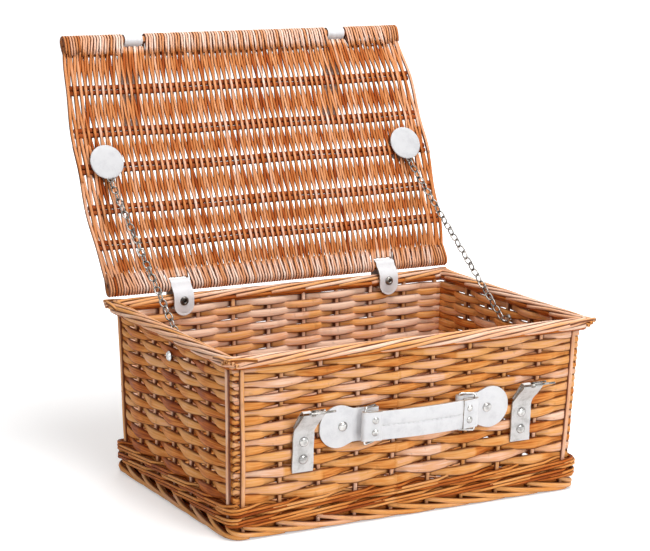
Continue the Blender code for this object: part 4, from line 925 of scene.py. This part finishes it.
for side, sign in SIDES:
    shape = [(44.6, 15.0), (47, 14.72), (50, 14.3), (53, 13.85), (57, 13.2)]
    shape += arc_path((RING_X, RING_N), TAB_LOOP, 80, -80, 9) + [(56, 8.1), (52, 8.6), (47.5, 9.4)]
    places = [on_front(sign * x, HANDLE_T, n) for x, n in shape]
    tab = strip("grip_tab_" + side, places, FRONT_UP, [TAB_HALF] * len(shape))
    band_of_leather(tab, leather, "handle", FRONT_OUT, TAB_LINE)
    slope = -2 * GRIP_BOW * GRIP_DOME_X / RING_X ** 2
    normal = Vector((-sign * slope, 0, 0)) + Vector(tuple(FRONT_OUT))
    for level, rise in (("upper", GRIP_DOME_UP), ("lower", -GRIP_DOME_UP)):
        centre = on_front(sign * GRIP_DOME_X, HANDLE_T + rise, grip_face(GRIP_DOME_X))
        domed(f"grip_dome_{level}_{side}", GRIP_DOME, GRIP_DOME_RISE, centre, normal, "handle",
              f"grip_rivet_{level}_{side}")
    turns = [t for t in np.linspace(-math.pi / 2 + 0.16, math.pi / 2, 20) if t < 0.6]
    shape = [(PATCH_X - PATCH_RADIUS * math.sin(t), PATCH_N, PATCH_RADIUS * math.cos(t)) for t in turns]
    neck = [(68, PATCH_N), (62, 1.25), (57, 1.7), (53, 3.2), (49.5, 5.1)]
    neck += arc_path((PATCH_LOOP_X, PATCH_LOOP_N), TAB_LOOP, 90, 260, 9)
    shape += [(x, n, PATCH_NECK) for x, n in neck]
    patch = strip("round_patch_" + side, [on_front(sign * x, HANDLE_T, n) for x, n, half in shape], FRONT_UP,
                  [half for x, n, half in shape])
    band_of_leather(patch, leather, "basket", FRONT_OUT, 0, node="handle_patch_" + side)
    near = on_front(sign * PATCH_LOOP_X, HANDLE_T, PATCH_LOOP_N)
    far = on_front(sign * RING_X, HANDLE_T, RING_N)
    middle, reach = (near + far) / 2, (far - near) / RING_APART
    loop = []
    for cx, cy, start_turn in ((1, 1, 0), (-1, 1, 90), (-1, -1, 180), (1, -1, 270)):
        loop += arc_path((cx * RING_WIDE, cy * RING_TALL), RING_CORNER, start_turn, start_turn + 90, 6)
    ring = np.array([middle + reach * a + FRONT_UP * b for a, b in loop])
    wire = rod(ring * mm, np.cross(reach, FRONT_UP), RING_ROD, RING_ROD, loop=True, sides=14)
    rod_piece("ring_wire_" + side, [wire], steel, "handle_ring_body_" + side, ["handle_ring_" + side])

# Lid straps: leatherette bands looped round the lid's front stick, hanging behind the open lid.
# Each is 20 mm wide and 98 mm long, with a rounded tip and three punched holes for the buckle's prong.
TAIL_HALF, TIP_Z = 10, -88
HOLE_LOW, HOLE_APART, HOLE_RADIUS, PUNCH_LONG = -84, 14, 1.7, 9
LID_FRONT = HINGE_AT + LID_LONG * ALONG_LID
tip_turns = [math.radians(a) for a in (-84, -70, -55, -40, -25, -12, 0)]
for side, sign in SIDES:
    path = [(LOOP_RADIUS, TIP_Z + TAIL_HALF * math.sin(a)) for a in tip_turns]
    path += [(LOOP_RADIUS + 0.5 * math.sin(z / 19), z) for z in (-78, -68, -58, -48, -38, -28, -18, -9)]
    path += arc_path((0, 0), LOOP_RADIUS, 0, 238, 16)
    path += [(-0.2, -7.0), (2.4, -11.0), (3.3, -16), (3.35, -24)]
    halves = [TAIL_HALF * math.cos(a) for a in tip_turns]
    halves += [TAIL_HALF] * (len(path) - len(halves))
    points = [(sign * STRAP_X, LID_FRONT[1] + y, LID_FRONT[2] + z) for y, z in path]
    strap = strip("lid_strap_band_" + side, points, (1, 0, 0), halves)
    band_of_leather(strap, leather, "lid_strap_body_" + side, (0, 1, 0), node="lid_strap_" + side)
    for hole in range(3):
        height = LID_FRONT[2] + HOLE_LOW + HOLE_APART * hole
        place = Vector((sign * STRAP_X, LID_FRONT[1] + LOOP_RADIUS, height)) * mm
        bpy.ops.object.select_all(action="DESELECT")
        bpy.ops.mesh.primitive_cylinder_add(vertices=20, radius=HOLE_RADIUS * mm, depth=PUNCH_LONG * mm,
                                            location=place, rotation=(math.pi / 2, 0, 0))
        punch = bpy.context.object
        fix(strap, "BOOLEAN", "punched", object=punch, operation="DIFFERENCE", solver="EXACT")
        bpy.data.objects.remove(punch)

# Lid discs: two flat pale discs on one bolt through each end of the lid.
# The chain hangs on a wire loop that is caught under the inner disc.
DISC_X, DISC_U, DISC_IN, DISC_OUT = 175.0, 131.0, -6.6, 5.4
DISC_FACE = [(0, -1.1), (17.2, -1.1), (17.8, -0.7), (18.0, 0.0), (17.75, 0.55), (17.0, 0.85), (12, 1.02),
             (0, 1.1)]
ANCHOR_HALF, ANCHOR_END, ANCHOR_W, ANCHOR_ROD = 3.2, 112.7, -5.1, 0.8
disc_white = leather_finish("disc_white", "BEBEC1", "CACACC", 0.1)
for side, sign in SIDES:
    for layer, w, facing in (("inner", DISC_IN, -1), ("outer", DISC_OUT, 1)):
        centre = on_lid(np.array([sign * DISC_X]), DISC_U, w)[0] / mm
        node = "chain_disc_" + side if layer == "inner" else None
        turned_piece(f"lid_disc_{layer}_{side}", DISC_FACE, centre, OUT_OF_LID * facing, disc_white, "lid",
                     node, 48)
    half_turns = np.linspace(0, math.pi, 7)
    loop = [(ANCHOR_HALF * math.cos(a), DISC_U + ANCHOR_HALF * math.sin(a), ANCHOR_W) for a in half_turns]
    loop += [(-ANCHOR_HALF, 121, ANCHOR_W), (-ANCHOR_HALF, 116, -5.3)]
    half_turns = np.linspace(0, math.pi, 9)
    loop += [(-ANCHOR_HALF * math.cos(a), ANCHOR_END - ANCHOR_HALF * math.sin(a), -7.6) for a in half_turns]
    loop += [(ANCHOR_HALF, 116, -5.3), (ANCHOR_HALF, 121, ANCHOR_W)]
    a, b, c = (np.array(v) for v in zip(*loop))
    wire = rod(on_lid(sign * DISC_X + a, b, c), OUT_OF_LID, ANCHOR_ROD, ANCHOR_ROD, loop=True, sides=8)
    rod_piece("disc_anchor_" + side, [wire], old_steel, "lid")

# Lid chains: 27 welded steel links on each side, 11 mm long and 8 mm wide, of 1.6 mm wire.
# They hold the open lid, and end in a small ring through the wall's eyelet.
CHAIN_KNOTS = np.array(((175.0, 133.402, 284.750), (176.777, 52.224, 223.812), (177.658, 11.955, 193.583)))
CHAIN_END = np.array((179.0, -48.769, 148.0))
CHAIN_PARTS = (("upper", 12), ("middle", 6), ("lower", 9))
LINK_ROUND, LINK_ROD, LINK_OVERLAP, FIRST_BACK, LAST_PAST = 3.2, 0.8, 1.1, 1.9, 2.4
EYELET_X, EYELET_Z, EYELET_WIDE, EYELET_TALL, EYELET_ROD = 181.9, 147.6, 3.6, 3.0, 0.75
chain_steel = steel_finish("chain_steel", "5D5A56", "A9A6A1", 0.16)
chain_reach = np.linalg.norm(CHAIN_END - CHAIN_KNOTS[0])
direction = (CHAIN_END - CHAIN_KNOTS[0]) / chain_reach
link_pitch = (chain_reach + LAST_PAST) / sum(count for level, count in CHAIN_PARTS)
half = (link_pitch + LINK_OVERLAP) / 2
link = arc_path((half - LINK_ROUND, 0), LINK_ROUND, -90, 90, 8)
link += arc_path((LINK_ROUND - half, 0), LINK_ROUND, 90, 270, 8)
flat = np.array((1.0, 0, 0)) - direction * direction[0]
flat /= np.linalg.norm(flat)
for side, sign in SIDES:
    mirror = np.array((sign, 1, 1))
    for (level, count), knot in zip(CHAIN_PARTS, CHAIN_KNOTS):
        links = []
        for number in range(count):
            wide = flat if number % 2 else np.cross(direction, flat)
            middle = knot + direction * (half - FIRST_BACK + number * link_pitch)
            ring = np.array([middle + direction * a + wide * b for a, b in link]) * mirror * mm
            across_link = np.cross(direction, wide) * mirror
            links.append(rod(ring, across_link, LINK_ROD, LINK_ROD, loop=True, sides=8))
        name = f"chain_{level}_{side}"
        rod_piece("links_" + name, links, chain_steel, f"chain_{level}_body_{side}", [name])
    ring = [(sign * (EYELET_X + EYELET_WIDE * math.cos(a)), CHAIN_END[1] + 0.5 * math.sin(a),
             EYELET_Z + EYELET_TALL * math.sin(a)) for a in np.linspace(0, 2 * math.pi, 17)[:-1]]
    wire = rod(np.array(ring) * mm, (0, 1, 0), EYELET_ROD, EYELET_ROD, loop=True, sides=8)
    rod_piece("eyelet_ring_" + side, [wire], old_steel, "basket")

# Buckles and eyelets: bent and pressed steel wire, shown as the solids that they are.
# The buckles have gone as dull as the chains, and the eyelets are bright.
for side in ("left", "right"):
    for name in ("wall_eyelet_", "buckle_frame_", "buckle_prong_"):
        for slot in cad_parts[name + side].material_slots:
            slot.material = steel if name == "wall_eyelet_" else chain_steel
